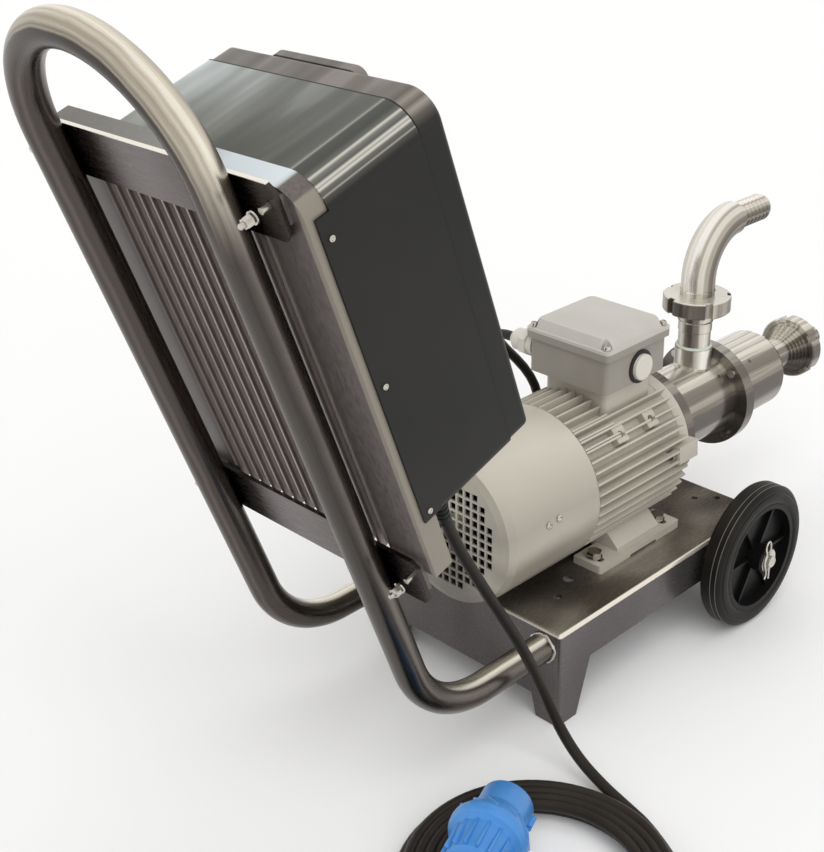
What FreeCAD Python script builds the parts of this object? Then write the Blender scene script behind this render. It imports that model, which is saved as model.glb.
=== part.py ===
import FreeCAD, Part
import math
import os

V = FreeCAD.Vector
os.makedirs("parts", exist_ok=True)

# Millimetres. X runs forward to the pump inlet, Y to the left, Z up from the floor.
# Stations along X count from the rear edge of the tray. On export every solid is
# moved so that the origin lies under the middle of the machine.
CENTRE_STATION = 106.7

# Tray: one folded sheet whose rear corners reach the floor as legs
TRAY_LENGTH = 322.0
TRAY_HALF_WIDTH = 111.5
TRAY_TOP = 99.0
SHEET = 3.0
BEND_RADIUS = 4.0
SIDE_FLANGE_FOOT = 57.0
REAR_FLANGE_FOOT = 23.5
LEG_TOP_LENGTH = 45.0
LEG_FOOT_LENGTH = 27.0
LEG_TOP_WIDTH = 32.0
LEG_FOOT_WIDTH = 26.0
SERVICE_HOLES = ((80.0, 55.0, 5.5), (49.0, 68.0, 4.0), (293.0, 50.0, 3.5), (309.0, 67.0, 3.5))

# Wheels and axle
WHEEL_STATION = 273.5
WHEEL_RADIUS = 75.0
TYRE_INNER_RADIUS = 57.0
TYRE_INNER_FACE = 121.0
TYRE_OUTER_FACE = 147.0
TYRE_SHOULDER = 5.0
RIM_LIP = 5.0
RIM_WEB_FACE = 131.0
RIM_WEB = 4.0
HUB_RADIUS = 14.0
HUB_INNER_FACE = 114.3
HUB_OUTER_FACE = 152.0
RIB_COUNT = 6
RIB_WIDTH = 3.0
AXLE_RADIUS = 6.0
AXLE_HALF_LENGTH = HUB_OUTER_FACE + 7.0
RUNNING_CLEARANCE = 0.05
WASHER_RADIUS = 12.0
WASHER_THICKNESS = 2.0
MOUNT_RADIUS = 10.0
MOUNT_LENGTH = 30.0
MOUNT_WEB = 4.0
AXLE_CHAMFER = 0.8
CLIP_STATION = AXLE_HALF_LENGTH - 3.5
CLIP_WIRE = 1.0
CLIP_HOLE = 1.3
CLIP_LEG = ((0, -20), (0, -6), (0, 14), (-0.6, 20), (-4.2, 24), (-8, 20.5))
CLIP_SPRING = ((-7.6, 14), (-5.4, 9), (-7.6, 4), (-7.8, -3), (-5.6, -9), (-7.4, -18))
CLIP_STEPS = 30

# Handle: one bent tube that leans back from the vertical
TUBE_RADIUS = 13.45
TUBE_WALL = 2.0
TUBE_HALF_SPAN = 92.4
TUBE_HEIGHT = 79.8
HEEL_STATION = -146.1
HEEL_BEND = 93.0
LEAN = 20.0
TOP_BEND_START = 536.4

# Cross brackets in the leaning frame: across = Y, up = along the handle, out = away from it
BRACKET_RIGHT = -137.0
BRACKET_LEFT = 122.0
BRACKET_THICKNESS = 3.3
BRACKET_CHAMFER = 6.0
UPPER_BRACKET = (494.0, 537.0)
LOWER_BRACKET = (158.0, 204.0)
BRACKET_BOLTS = ((-128.0, 521.0), (114.0, 521.0), (-128.0, 188.0), (114.0, 188.0))
M8 = 4.0
M8_HOLE = 4.4
M5 = 2.5
M5_HOLE = 2.8
M3 = 1.6
BOLT_TIP = 6.0
NUT_FLATS = 13.0
NUT_HEIGHT = 6.8
WASHER_8 = 8.0
WASHER_8_HEIGHT = 1.6
BRACKET_NUT_FLATS = 8.0
BRACKET_NUT_HEIGHT = 4.0
WASHER_5 = 5.0
WASHER_5_HEIGHT = 1.0
BUTTON_RADIUS = 4.75
DOME_RADIUS = 6.0
DOME_DEPTH = 3.0

# Inverter in the leaning frame
SINK_BACK = 20.0
SINK_FRONT = 38.0
SINK_RIGHT = -148.0
SINK_LEFT = 123.0
SINK_BOTTOM = 190.0
CASE_TOP = 531.0
SINK_CORNER = 23.0
SINK_FAR_CORNER = 4.0
SINK_CROWN = 3.0
FIN_TIP = 18.5
FIN_FLOOR = 35.0
FIN_COUNT = 14
FIN_PITCH = 13.9
FIN_THICKNESS = 2.2
FIRST_FIN = 78.0
FIN_START = 16.0
POCKET_RADIUS = 7.0
EAR_OUTER = 9.0
EAR_INNER = 22.0
EAR_REACH = 15.0
EAR_TOP_GAP = 4.0
CASE_RIGHT = -150.0
CASE_LEFT = 62.0
CASE_BOTTOM = 238.0
CASE_CORNER = 25.0
CASE_FOOT_CORNER = 9.0
CASE_WALL = 2.5
CASE_SEAM = 123.5
CASE_FRONT = 147.0
CAP_EDGE = 5.0
CAP_STEP = 1.5
PAD_RIGHT = -76.0
PAD_LEFT = 17.0
PAD_BOTTOM = 400.0
PAD_TOP = 528.5
PAD_CORNER = 9.0
PAD_FACE = 156.0
PAD_EDGE = 3.0
KEY_RADIUS = 6.0
KEY_GAP = 0.3
KEY_FLOOR = 148.5
KEY_TRAVEL = 1.0
KEY_PROUD = 2.0
KEYS = {
    "key_run": (-62.0, 427.0),
    "key_stop": (-8.0, 427.0),
    "key_up": (-35.0, 441.0),
    "key_down": (-35.0, 413.0),
}
BOARD_SPAN = (-130.0, 42.0, 262.0, 506.0)
BOARD_BACK = 80.0
BOARD_THICKNESS = 1.6
BOARD_POSTS = ((-122.0, 270.0), (34.0, 270.0), (-122.0, 498.0), (34.0, 498.0))
CAPACITORS = ((-105.0, 300.0), (-70.0, 300.0), (-35.0, 300.0))
CAPACITOR_RADIUS = 15.0
CAPACITOR_HEIGHT = 30.0
POWER_MODULE = (81.0, 104.0, -20.0, 30.0, 350.0, 410.0)
CONTROL_MODULE = (81.0, 96.0, -120.0, -60.0, 430.0, 480.0)
COVER_SCREWS = (489.0, 368.0, 250.0)
COVER_SCREW_OUT = 33.0
GLAND_BODY = 11.0
GLAND_HEX = 12.0
GLAND_HEX_LENGTH = 7.0
GLAND_BODY_LENGTH = 10.0
GLAND_NOSE_LENGTH = 5.0
GLAND_NOSE = 7.0
MAINS_GLAND = (-110.0, 70.0)
MOTOR_GLAND = (20.0, 95.0)

# Motor on the machine axis
AXIS_HEIGHT = TRAY_TOP + 80.0
FAN_COVER_REAR = -30.0
FAN_COVER_FRONT = 95.0
FAN_COVER_RADIUS = 77.0
FAN_COVER_FACE_RADIUS = 67.0
FAN_COVER_EDGE_STATION = -19.0
FAN_COVER_WALL = 2.0
FAN_COVER_SWELL_STATION = -27.0
FAN_COVER_SWELL_RADIUS = 74.0
GRILLE_HOLE = 6.6
GRILLE_PITCH = 8.8
GRILLE_RADIUS = 62.0
FRAME_REAR = 90.0
FRAME_FRONT = 236.0
FRAME_RADIUS = 66.0
FRAME_BORE = 58.0
MOTOR_FIN_START = 96.0
MOTOR_FIN_RADIUS = 77.0
MOTOR_FIN_ANGLES = (34, 42, 50, 58, 66, 74, 82, 90, 98, 106, 114, 122, 130, 160, 170, 180)
MOTOR_FIN_ROOT = 3.4
MOTOR_FIN_TIP = 2.0
BOSS_STATIONS = (150.0, 197.0)
BOSS_ANGLE = 49.0
BOSS_TOP = 74.0
BOSS_HALF = 8.0
SHIELD_RADIUS = 66.5
SHIELD_FRONT = 250.0
LUG_REACH = 77.0
LUG_REAR = 220.0
LUG_HEAD_ROOM = 6.5
LUG_HEAD_LENGTH = 6.0
LUG_BOLT_RADIUS = 69.5
LUG_HALF_WIDTH = 9.0
SHAFT_RADIUS = 9.5
SHAFT_REAR = -14.0
CHAMBER_WALL = (284.0, 292.0)
DRIVE_BALL = CHAMBER_WALL[1] + 17.0
SHAFT_FRONT = DRIVE_BALL - 6.0
HUB_OVERLAP = 5.0
BEARING_RADIUS = 20.0
BEARING_WIDTH = 12.0
CORE_REAR = 120.0
CORE_FRONT = 206.0
ROTOR_CORE_RADIUS = 39.5
CORE_BORE = 40.0
WINDING_LENGTH = 20.0
FAN_HUB = (14.0, -10.0, 22.0)
FAN_DISC = (58.0, 18.0, 21.0)
FAN_BLADE = (-12.0, 19.0, 12.0, 58.0)
FAN_BLADES = 8
FAN_BLADE_HALF = 1.5
FRONT_LUG_ANGLES = (86, 160, 200, 274)
REAR_LUG_ANGLES = (82, 172, 262, 352)
REAR_SHIELD_WIDTH = 14.0
FOOT_REAR = 106.0
FOOT_FRONT = 232.5
FOOT_INNER = 40.0
FOOT_OUTER = 73.0
FOOT_THICKNESS = 8.0
FOOT_BLOCK = (140.5, 206.7)
FOOT_BOLTS = (117.5, 217.5)
FOOT_BOLT_OFFSET = 56.0
FOOT_SLOT_START = 53.0
FOOT_SLOT_END = 62.5
FOOT_WEB = ((34.0, -4.0), (66.0, -4.0), (66.0, 3.0), (50.0, 18.0), (44.0, 30.0), (34.0, 30.0))
FOOT_RELIEF = 12.0
FOOT_RELIEF_HEIGHT = 2.0

# Terminal box
BOX_REAR = 136.0
BOX_FRONT = 228.0
BOX_HALF_WIDTH = 47.0
BOX_FLOOR = AXIS_HEIGHT + 89.0
BOX_RIM_TOP = BOX_FLOOR + 42.0
BOX_RIM_FLOOR = BOX_RIM_TOP - 7.0
LID_TOP = BOX_RIM_TOP + 12.0
RIM_REAR = 133.0
RIM_FRONT = 231.0
RIM_HALF_WIDTH = 50.0
LID_REAR = 140.0
LID_FRONT = 222.0
LID_HALF_WIDTH = 41.0
BOX_CORNER = 5.0
BOX_WALL = 3.0
LID_SKIRT = 3.0
LID_CORNER = 6.0
LID_NOTCH = 5.5
PEDESTAL_REAR = 149.0
PEDESTAL_FRONT = 220.0
PEDESTAL_HALF_WIDTH = 37.5
PLUG_STATION = 187.0
PLUG_HEIGHT = BOX_FLOOR + 15.0
PLUG_RADIUS = 13.0
PLUG_RING = 1.5
PLUG_DEPTH = 6.0
CABLE_GLAND_STATION = 147.5
CABLE_GLAND_HEIGHT = BOX_FLOOR + 22.0
CABLE_GLAND_END = 76.0

# Pump
ADAPTER_FRONT = 268.0
ADAPTER_RADIUS = 61.5
CHAMBER_RADIUS = 43.0
CHAMBER_BORE = 36.0
SEAL_OUTER = 14.0
SEAL_GAP = 0.3
FLANGE_REAR = 367.0
FLANGE_SPLIT = 374.0
FLANGE_FRONT = 381.0
FLANGE_RADIUS = 57.5
FLANGE_SCREW_CIRCLE = 51.0
FLANGE_SCREW_COUNT = 4
FLANGE_SCREW_TURN = 47.0
FLANGE_SCREW = 2.5
FLANGE_SCREW_BORE = 2.6
FLANGE_SCREW_HEAD = 4.3
COLLAR_RADIUS = 46.0
COLLAR_FRONT = 389.0
BARREL_RADIUS = 43.5
BARREL_FRONT = 466.0
STATOR_RADIUS = 39.0
STATOR_FRONT = 460.0
NECK_RADIUS = 17.5
NECK_ROOT = 20.0
PIPE_BORE = 14.5
OUTLET_STATION = 346.0
OUTLET_BOSS_RADIUS = 19.5
OUTLET_BOSS_TOP = 242.0
NIPPLE_RADIUS = 16.75
NIPPLE_STEP = 260.0
NIPPLE_DEPTH = 13.0
UNION_RADIUS = 35.0
UNION_THREAD = 28.9
UNION_BORE = 29.0
UNION_SLOTS = 5
UNION_SLOT = 8.0
UNION_SLOT_FLOOR = 30.5
UNION_LIP = 4.0
UNION_CHAMFER = 1.5
UNION_FACE = 546.0
UNION_INSERT = 27.0
NECK_END = 516.0
NECK_RING_COUNT = 5
NECK_RING_LENGTH = 4.0
NECK_RING_RISE = 2.0
THREAD_START = 539.0
OUTLET_NUT = (283.0, 300.0)
OUTLET_FACE = 294.0
INLET_NUT = (538.0, 554.0)
PIPE_RADIUS = 17.5
RIDGE_RADIUS = 14.2
TAIL_CORE = 12.8
TAIL_BORE = 10.5
ELBOW_RADIUS = 54.0
ELBOW_START = 314.7
OUTLET_TAIL = (404.0, 453.0)
INLET_TAIL = (557.0, 588.0)
RIDGE_PITCH = 7.0
RIDGE_RISE = 2.0
RIDGE_LAND = 1.6

# Screw pair: round rotor section on a helix, twice the pitch in the rubber
ECCENTRICITY = 4.0
ROTOR_PITCH = 40.0
ROTOR_RADIUS = 11.0
CAVITY_CLEARANCE = 0.35
ROTOR_SECTION_COUNT = 30
CAVITY_SECTION_COUNT = 26
MOUTH_RADIUS = 29.0
MOUTH_GAP = 1.0
ROTOR_START = 382.0
ROTOR_END = 459.0
HEAD_RADIUS = 14.0
HEAD_REAR = 365.0
ROD_RADIUS = 6.5
BALL_RADIUS = 9.6
SOCKET_RADIUS = 10.2
HEAD_BALL = 371.0
DRIVE_HUB_RADIUS = 15.0
DRIVE_HUB_FRONT = DRIVE_BALL + 7.0

# Mains lead
CORD_RADIUS = 5.0
COIL_CENTRE = V(-166.4, -231.4, 0)
COIL_OUTER = 118.0
COIL_INNER = 76.0
COIL_HEIGHT = 20.0
PLUG_GRIP = V(-179.0, -192.0, 42.0)
PLUG_HEADING = 21.0
SKIRT_RADIUS = 22.0
SKIRT_WALL = 2.5
SKIRT_START = 14.0
SKIRT_LENGTH = 46.0
SKIRT_FLOOR = 20.0
GRIP_RADIUS = 34.0
PLUG_BACK = ((-70.0, 12.0), (-58.0, 16.0), (-48.0, 17.0), (-44.0, 23.0), (-22.0, 25.0), (-10.0, 29.0))
PLUG_TURN = 20.0
PIN_CIRCLE = 11.0
PIN_ROOT = 10.0
PIN_LENGTH = 40.0
PINS = ((0, 3.0), (120, 2.5), (240, 2.5))

AXIS = V(0, 0, AXIS_HEIGHT)
LEAN_PLACE = FreeCAD.Placement(V(HEEL_STATION, 0, TUBE_HEIGHT), FreeCAD.Rotation(V(0, 1, 0), -LEAN))


def leaning(shape):
    moved = shape.copy()
    moved.Placement = LEAN_PLACE.multiply(moved.Placement)
    return moved


def lean_point(across, up, out):
    return LEAN_PLACE.multVec(V(out, across, up))


def save(name, shape):
    moved = shape.copy()
    moved.translate(V(-CENTRE_STATION, 0, 0))
    moved.exportStep("parts/" + name + ".step")
    print(name, len(moved.Solids), moved.isValid(), round(moved.Volume, 1))


def cylinder(radius, start, end):
    span = end.sub(start)
    return Part.makeCylinder(radius, span.Length, start, span)


def along_x(radius, first, last, y=0.0, z=AXIS_HEIGHT):
    return cylinder(radius, V(first, y, z), V(last, y, z))


def ring_x(outer, inner, first, last):
    return along_x(outer, first, last).cut(along_x(inner, first - 1, last + 1))


def block(x0, x1, y0, y1, z0, z1):
    return Part.makeBox(x1 - x0, y1 - y0, z1 - z0, V(x0, y0, z0))


def outline(points, radii):
    """Closed flat wire through the points, each corner rounded by its radius."""
    edges = []
    ends = []
    count = len(points)
    for i in range(count):
        corner = points[i]
        if radii[i] <= 0:
            ends.append((corner, corner, None))
            continue
        before = points[i - 1].sub(corner).normalize()
        after = points[(i + 1) % count].sub(corner).normalize()
        half = before.getAngle(after) / 2
        reach = radii[i] / math.tan(half)
        bisector = before.add(after).normalize()
        middle = corner.add(bisector.multiply(radii[i] / math.sin(half) - radii[i]))
        ends.append((corner.add(before.multiply(reach)), corner.add(after.multiply(reach)), middle))
    for i in range(count):
        first, last, middle = ends[i]
        if middle is not None:
            edges.append(Part.Arc(first, middle, last).toShape())
        following = ends[(i + 1) % count][0]
        if last.sub(following).Length > 1e-6:
            edges.append(Part.LineSegment(last, following).toShape())
    return Part.Wire(edges)


def plate_x(points, radii, first, last):
    """Plate normal to X from (y, z) corners."""
    if not isinstance(radii, (list, tuple)):
        radii = [radii] * len(points)
    wire = outline([V(first, y, z) for y, z in points], radii)
    return Part.Face(wire).extrude(V(last - first, 0, 0))


def plate_y(points, radii, first, last):
    """Plate normal to Y from (x, z) corners."""
    if not isinstance(radii, (list, tuple)):
        radii = [radii] * len(points)
    wire = outline([V(x, first, z) for x, z in points], radii)
    return Part.Face(wire).extrude(V(0, last - first, 0))


def plate_z(points, radii, first, last):
    """Plate normal to Z from (x, y) corners."""
    if not isinstance(radii, (list, tuple)):
        radii = [radii] * len(points)
    wire = outline([V(x, y, first) for x, y in points], radii)
    return Part.Face(wire).extrude(V(0, 0, last - first))


def rectangle(rear, front, half):
    return [(rear, -half), (front, -half), (front, half), (rear, half)]


def turned(points, origin, direction):
    """Solid of revolution from (along, radius) corners about direction through origin."""
    wire = Part.makePolygon([V(r, 0, a) for a, r in points] + [V(points[0][1], 0, points[0][0])])
    solid = Part.Face(wire).revolve(V(0, 0, 0), V(0, 0, 1), 360)
    solid.Placement = FreeCAD.Placement(origin, FreeCAD.Rotation(V(0, 0, 1), direction))
    return solid


def turned_x(points):
    return turned(points, AXIS, V(1, 0, 0))


def route(points, end_share=0.45):
    """Wire of straight runs and tangent arcs through the points of a tube.

    Each arc takes up to 0.45 of a run, or end_share of the first and last run.
    """
    count = len(points)
    edges = []
    start = points[0]
    smallest = 1e9
    for i in range(1, count - 1):
        before = points[i - 1].sub(points[i])
        after = points[i + 1].sub(points[i])
        turn = math.pi - before.getAngle(after)
        share_before = end_share if i == 1 else 0.45
        share_after = end_share if i == count - 2 else 0.45
        reach = min(share_before * before.Length, share_after * after.Length)
        radius = reach / math.tan(turn / 2)
        before.normalize()
        after.normalize()
        first = points[i].add(V(before).multiply(reach))
        last = points[i].add(V(after).multiply(reach))
        bisector = V(before).add(after).normalize()
        middle = points[i].add(bisector.multiply(radius / math.cos(turn / 2) - radius))
        edges.append(Part.LineSegment(start, first).toShape())
        edges.append(Part.Arc(first, middle, last).toShape())
        start = last
        smallest = min(smallest, radius)
    edges.append(Part.LineSegment(start, points[-1]).toShape())
    return Part.Wire(edges), smallest


def tube_along(wire, radius):
    start = wire.Edges[0].valueAt(wire.Edges[0].FirstParameter)
    heading = wire.Edges[0].tangentAt(wire.Edges[0].FirstParameter)
    section = Part.Wire(Part.makeCircle(radius, start, heading))
    return wire.makePipeShell([section], True, True)


def report_tube(name, wire, smallest, tube):
    ideal = math.pi * CORD_RADIUS**2 * wire.Length
    print(name, "length", round(wire.Length, 1), "smallest bend", round(smallest, 1))
    print(name, "volume over its ideal", round(tube.Volume / ideal, 3))


def hex_prism(across_flats, start, end):
    span = end.sub(start)
    corner = across_flats / math.sqrt(3)
    points = []
    for i in range(6):
        angle = math.radians(60 * i + 30)
        points.append(V(corner * math.cos(angle), corner * math.sin(angle), 0))
    face = Part.Face(Part.makePolygon(points + [points[0]]))
    prism = face.extrude(V(0, 0, span.Length))
    prism.Placement = FreeCAD.Placement(start, FreeCAD.Rotation(V(0, 0, 1), span))
    return prism


def mirrored(shape):
    return shape.mirror(V(0, 0, 0), V(0, 1, 0))


def make_tray():
    half = TRAY_HALF_WIDTH
    outer = block(0, TRAY_LENGTH, -half, half, 0, TRAY_TOP)
    bends = []
    for edge in outer.Edges:
        box = edge.BoundBox
        upright = box.ZLength > 1
        if upright or box.ZMin > TRAY_TOP - 1:
            bends.append(edge)
    outer = outer.makeFillet(BEND_RADIUS, bends)
    inner = block(SHEET, TRAY_LENGTH - SHEET, SHEET - half, half - SHEET, -10, TRAY_TOP - SHEET)
    uprights = [edge for edge in inner.Edges if edge.BoundBox.ZLength > 1]
    inner = inner.makeFillet(BEND_RADIUS - SHEET, uprights)
    side = [(0, 0), (LEG_FOOT_LENGTH, 0), (LEG_TOP_LENGTH, SIDE_FLANGE_FOOT)]
    side += [(TRAY_LENGTH, SIDE_FLANGE_FOOT), (TRAY_LENGTH, TRAY_TOP), (0, TRAY_TOP)]
    top = half - LEG_TOP_WIDTH
    foot = half - LEG_FOOT_WIDTH
    rear = [(-half, 0), (-foot, 0), (-top, REAR_FLANGE_FOOT), (top, REAR_FLANGE_FOOT), (foot, 0), (half, 0)]
    rear += [(half, TRAY_TOP), (-half, TRAY_TOP)]
    tray = outer.cut(inner)
    tray = tray.common(plate_y(side, 0, -half, half))
    tray = tray.common(plate_x(rear, 0, 0, TRAY_LENGTH))
    below = TRAY_TOP - 2 * SHEET
    for sign in (-1, 1):
        for x, y, radius in SERVICE_HOLES:
            tray = tray.cut(cylinder(radius, V(x, sign * y, below), V(x, sign * y, TRAY_TOP + 1)))
        for x in FOOT_BOLTS:
            place = sign * FOOT_BOLT_OFFSET
            tray = tray.cut(cylinder(M8_HOLE, V(x, place, below), V(x, place, TRAY_TOP + 1)))
    return tray.cut(across_axle(AXLE_RADIUS + RUNNING_CLEARANCE, -half - 1, half + 1))


def across_axle(radius, first, last):
    return cylinder(radius, V(WHEEL_STATION, first, WHEEL_RADIUS), V(WHEEL_STATION, last, WHEEL_RADIUS))


def make_axle_mounts():
    outer_end = TRAY_HALF_WIDTH - SHEET
    bore = AXLE_RADIUS + RUNNING_CLEARANCE
    mount = across_axle(MOUNT_RADIUS, outer_end - MOUNT_LENGTH, outer_end)
    rear = WHEEL_STATION - MOUNT_WEB
    front = WHEEL_STATION + MOUNT_WEB
    web = block(rear, front, outer_end - MOUNT_LENGTH, outer_end, WHEEL_RADIUS, TRAY_TOP - SHEET)
    mount = mount.fuse(web).cut(across_axle(bore, 0, TRAY_HALF_WIDTH))
    return Part.makeCompound([mount, mirrored(mount)])


def make_axle():
    axle = across_axle(AXLE_RADIUS, -AXLE_HALF_LENGTH, AXLE_HALF_LENGTH)
    ends = [edge for edge in axle.Edges if edge.BoundBox.YLength < 0.1]
    axle = axle.makeChamfer(AXLE_CHAMFER, ends)
    for sign in (-1, 1):
        low = V(WHEEL_STATION, sign * CLIP_STATION, WHEEL_RADIUS - 10)
        axle = axle.cut(cylinder(CLIP_HOLE, low, low.add(V(0, 0, 20))))
    return axle


def make_axle_washers():
    bore = across_axle(AXLE_RADIUS + RUNNING_CLEARANCE, TRAY_HALF_WIDTH, AXLE_HALF_LENGTH)
    inner = across_axle(WASHER_RADIUS, TRAY_HALF_WIDTH, TRAY_HALF_WIDTH + WASHER_THICKNESS).cut(bore)
    start = HUB_OUTER_FACE + 0.3
    outer = across_axle(WASHER_RADIUS, start, start + WASHER_THICKNESS).cut(bore)
    return Part.makeCompound([inner, outer, mirrored(inner), mirrored(outer)])


def make_axle_clips():
    """Bent wire whose straight leg passes through the axle's hole."""
    base = V(WHEEL_STATION, -CLIP_STATION, WHEEL_RADIUS)
    curve = Part.BSplineCurve()
    curve.interpolate([base.add(V(x, 0, z)) for x, z in CLIP_LEG + CLIP_SPRING])
    points = curve.discretize(CLIP_STEPS)
    turn = FreeCAD.Rotation(V(0, 0, 1), points[1].sub(points[0]))
    corners = []
    for i in range(8):
        angle = math.radians(45 * i)
        corner = V(CLIP_WIRE * math.cos(angle), CLIP_WIRE * math.sin(angle), 0)
        corners.append(points[0].add(turn.multVec(corner)))
    section = Part.makePolygon(corners + [corners[0]])
    clip = Part.makePolygon(points).makePipeShell([section], True, False, 1)
    return Part.makeCompound([clip, mirrored(clip)])


def make_tyre():
    points = [(TYRE_INNER_FACE, TYRE_INNER_RADIUS), (TYRE_OUTER_FACE, TYRE_INNER_RADIUS)]
    points += [(TYRE_OUTER_FACE, WHEEL_RADIUS), (TYRE_INNER_FACE, WHEEL_RADIUS)]
    wire = outline([V(0, y, r) for y, r in points], [0, 0, TYRE_SHOULDER, TYRE_SHOULDER])
    tyre = Part.Face(wire).revolve(V(0, 0, 0), V(0, 1, 0), 360)
    tyre.translate(V(WHEEL_STATION, 0, WHEEL_RADIUS))
    return tyre


def make_rim():
    inner_lip = TYRE_INNER_RADIUS - RIM_LIP
    first = TYRE_INNER_FACE + 1
    last = TYRE_OUTER_FACE - 1
    rim = across_axle(TYRE_INNER_RADIUS, first, last).cut(across_axle(inner_lip, first - 1, last + 1))
    rim = rim.fuse(across_axle(inner_lip + 1, RIM_WEB_FACE, RIM_WEB_FACE + RIM_WEB))
    for i in range(RIB_COUNT):
        rib = block(-RIB_WIDTH / 2, RIB_WIDTH / 2, first + 3, last - 6, 0, inner_lip + 1)
        rib.rotate(V(0, 0, 0), V(0, 1, 0), 360 / RIB_COUNT * i + 90)
        rib.translate(V(WHEEL_STATION, 0, WHEEL_RADIUS))
        rim = rim.fuse(rib)
    rim = rim.fuse(across_axle(HUB_RADIUS, HUB_INNER_FACE, HUB_OUTER_FACE))
    rim = rim.cut(across_axle(AXLE_RADIUS + RUNNING_CLEARANCE, 0, HUB_OUTER_FACE + 1))
    return rim.removeSplitter()


def make_handle():
    low = -TUBE_HALF_SPAN
    start = V(0, low, TUBE_HEIGHT)
    heel = V(HEEL_STATION, low, TUBE_HEIGHT)
    turn = math.radians(90 - LEAN)
    reach = HEEL_BEND * math.tan(turn / 2)
    bend_start = heel.add(V(reach, 0, 0))
    bend_end = lean_point(low, reach, 0)
    inward = bend_start.sub(heel).add(bend_end.sub(heel)).normalize()
    bend_middle = heel.add(inward.multiply(HEEL_BEND / math.cos(turn / 2) - HEEL_BEND))
    crown_start = lean_point(low, TOP_BEND_START, 0)
    crown = lean_point(0, TOP_BEND_START + TUBE_HALF_SPAN, 0)
    flip = [V(p.x, -p.y, p.z) for p in (start, bend_start, bend_middle, bend_end, crown_start)]
    edges = [
        Part.LineSegment(start, bend_start),
        Part.Arc(bend_start, bend_middle, bend_end),
        Part.LineSegment(bend_end, crown_start),
        Part.Arc(crown_start, crown, flip[4]),
        Part.LineSegment(flip[4], flip[3]),
        Part.Arc(flip[3], flip[2], flip[1]),
        Part.LineSegment(flip[1], flip[0]),
    ]
    wire = Part.Wire([edge.toShape() for edge in edges])
    return tube_along(wire, TUBE_RADIUS).cut(tube_along(wire, TUBE_RADIUS - TUBE_WALL))


def make_bracket(span):
    bottom, top = span
    cut = BRACKET_CHAMFER
    right = BRACKET_RIGHT
    left = BRACKET_LEFT
    points = [(right, bottom + cut), (right + cut, bottom), (left - cut, bottom), (left, bottom + cut)]
    points += [(left, top - cut), (left - cut, top), (right + cut, top), (right, top - cut)]
    plate = plate_x(points, 0, TUBE_RADIUS, TUBE_RADIUS + BRACKET_THICKNESS)
    for y, s in BRACKET_BOLTS:
        plate = plate.cut(along_x(M5_HOLE, 0, SINK_BACK, y, s))
    return leaning(plate)


def make_bracket_bolts():
    bolts = []
    for y, s in BRACKET_BOLTS:
        shank = along_x(M5, BOLT_TIP, SINK_BACK, y, s)
        head = Part.makeSphere(DOME_RADIUS, V(SINK_BACK - DOME_DEPTH, y, s))
        head = head.common(along_x(BUTTON_RADIUS, SINK_BACK, SINK_BACK + DOME_RADIUS, y, s))
        bolts.append(leaning(shank.fuse(head)))
    return Part.makeCompound(bolts)


def make_bracket_nuts():
    nuts = []
    seat = TUBE_RADIUS
    for y, s in BRACKET_BOLTS:
        washer = along_x(WASHER_5, seat - WASHER_5_HEIGHT, seat, y, s)
        nut_top = V(seat - WASHER_5_HEIGHT, y, s)
        nut = hex_prism(BRACKET_NUT_FLATS, nut_top.sub(V(BRACKET_NUT_HEIGHT, 0, 0)), nut_top)
        nuts.append(leaning(washer.fuse(nut).cut(along_x(M5, 0, SINK_BACK, y, s))))
    return Part.makeCompound(nuts)


def make_heatsink():
    points = [(SINK_RIGHT, SINK_BOTTOM), (SINK_LEFT, SINK_BOTTOM)]
    points += [(SINK_LEFT, CASE_TOP), (SINK_RIGHT, CASE_TOP)]
    body = plate_x(points, [0, 0, SINK_FAR_CORNER, SINK_CORNER], SINK_BACK, SINK_FRONT)
    edge = FIN_THICKNESS / 2
    right = FIRST_FIN - FIN_PITCH * (FIN_COUNT - 1) - edge
    left = FIRST_FIN + edge
    body = body.fuse(block(FIN_TIP, SINK_FRONT - 1, right, left, SINK_BOTTOM + FIN_START, CASE_TOP))
    channels = []
    for i in range(FIN_COUNT - 1):
        high = FIRST_FIN - FIN_PITCH * i - edge
        low = high - FIN_PITCH + FIN_THICKNESS
        channels.append(block(FIN_TIP - 1, FIN_FLOOR, low, high, SINK_BOTTOM - 1, CASE_TOP - SINK_CROWN))
    body = body.cut(channels)
    pockets = [along_x(POCKET_RADIUS, SINK_BACK, SINK_FRONT + 1, y, s) for y, s in BRACKET_BOLTS]
    body = body.cut(pockets)
    for y, s in BRACKET_BOLTS:
        outer = math.copysign(EAR_OUTER, y)
        inner = math.copysign(EAR_INNER, y)
        low, high = sorted((y + outer, y - inner))
        top = min(s + EAR_REACH, CASE_TOP - EAR_TOP_GAP)
        seat = TUBE_RADIUS + BRACKET_THICKNESS
        body = body.fuse(block(seat, SINK_BACK, low, high, s - EAR_REACH, top))
    body = body.cut([along_x(M5_HOLE, 0, SINK_BACK + 1, y, s) for y, s in BRACKET_BOLTS])
    body = body.cut(screw_bores(M3))
    return leaning(body.removeSplitter())


def screw_bores(radius):
    bores = []
    for s in COVER_SCREWS:
        start = V(COVER_SCREW_OUT, CASE_RIGHT - 1, s)
        bores.append(cylinder(radius, start, start.add(V(0, 10, 0))))
    return bores


def case_outline(inset, first, last):
    points = [(CASE_RIGHT + inset, CASE_BOTTOM + inset), (CASE_LEFT - inset, CASE_BOTTOM + inset)]
    points += [(CASE_LEFT - inset, CASE_TOP - inset), (CASE_RIGHT + inset, CASE_TOP - inset)]
    small = CASE_FOOT_CORNER - inset
    large = CASE_CORNER - inset
    return plate_x(points, [small, small, small, large], first, last)


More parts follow.
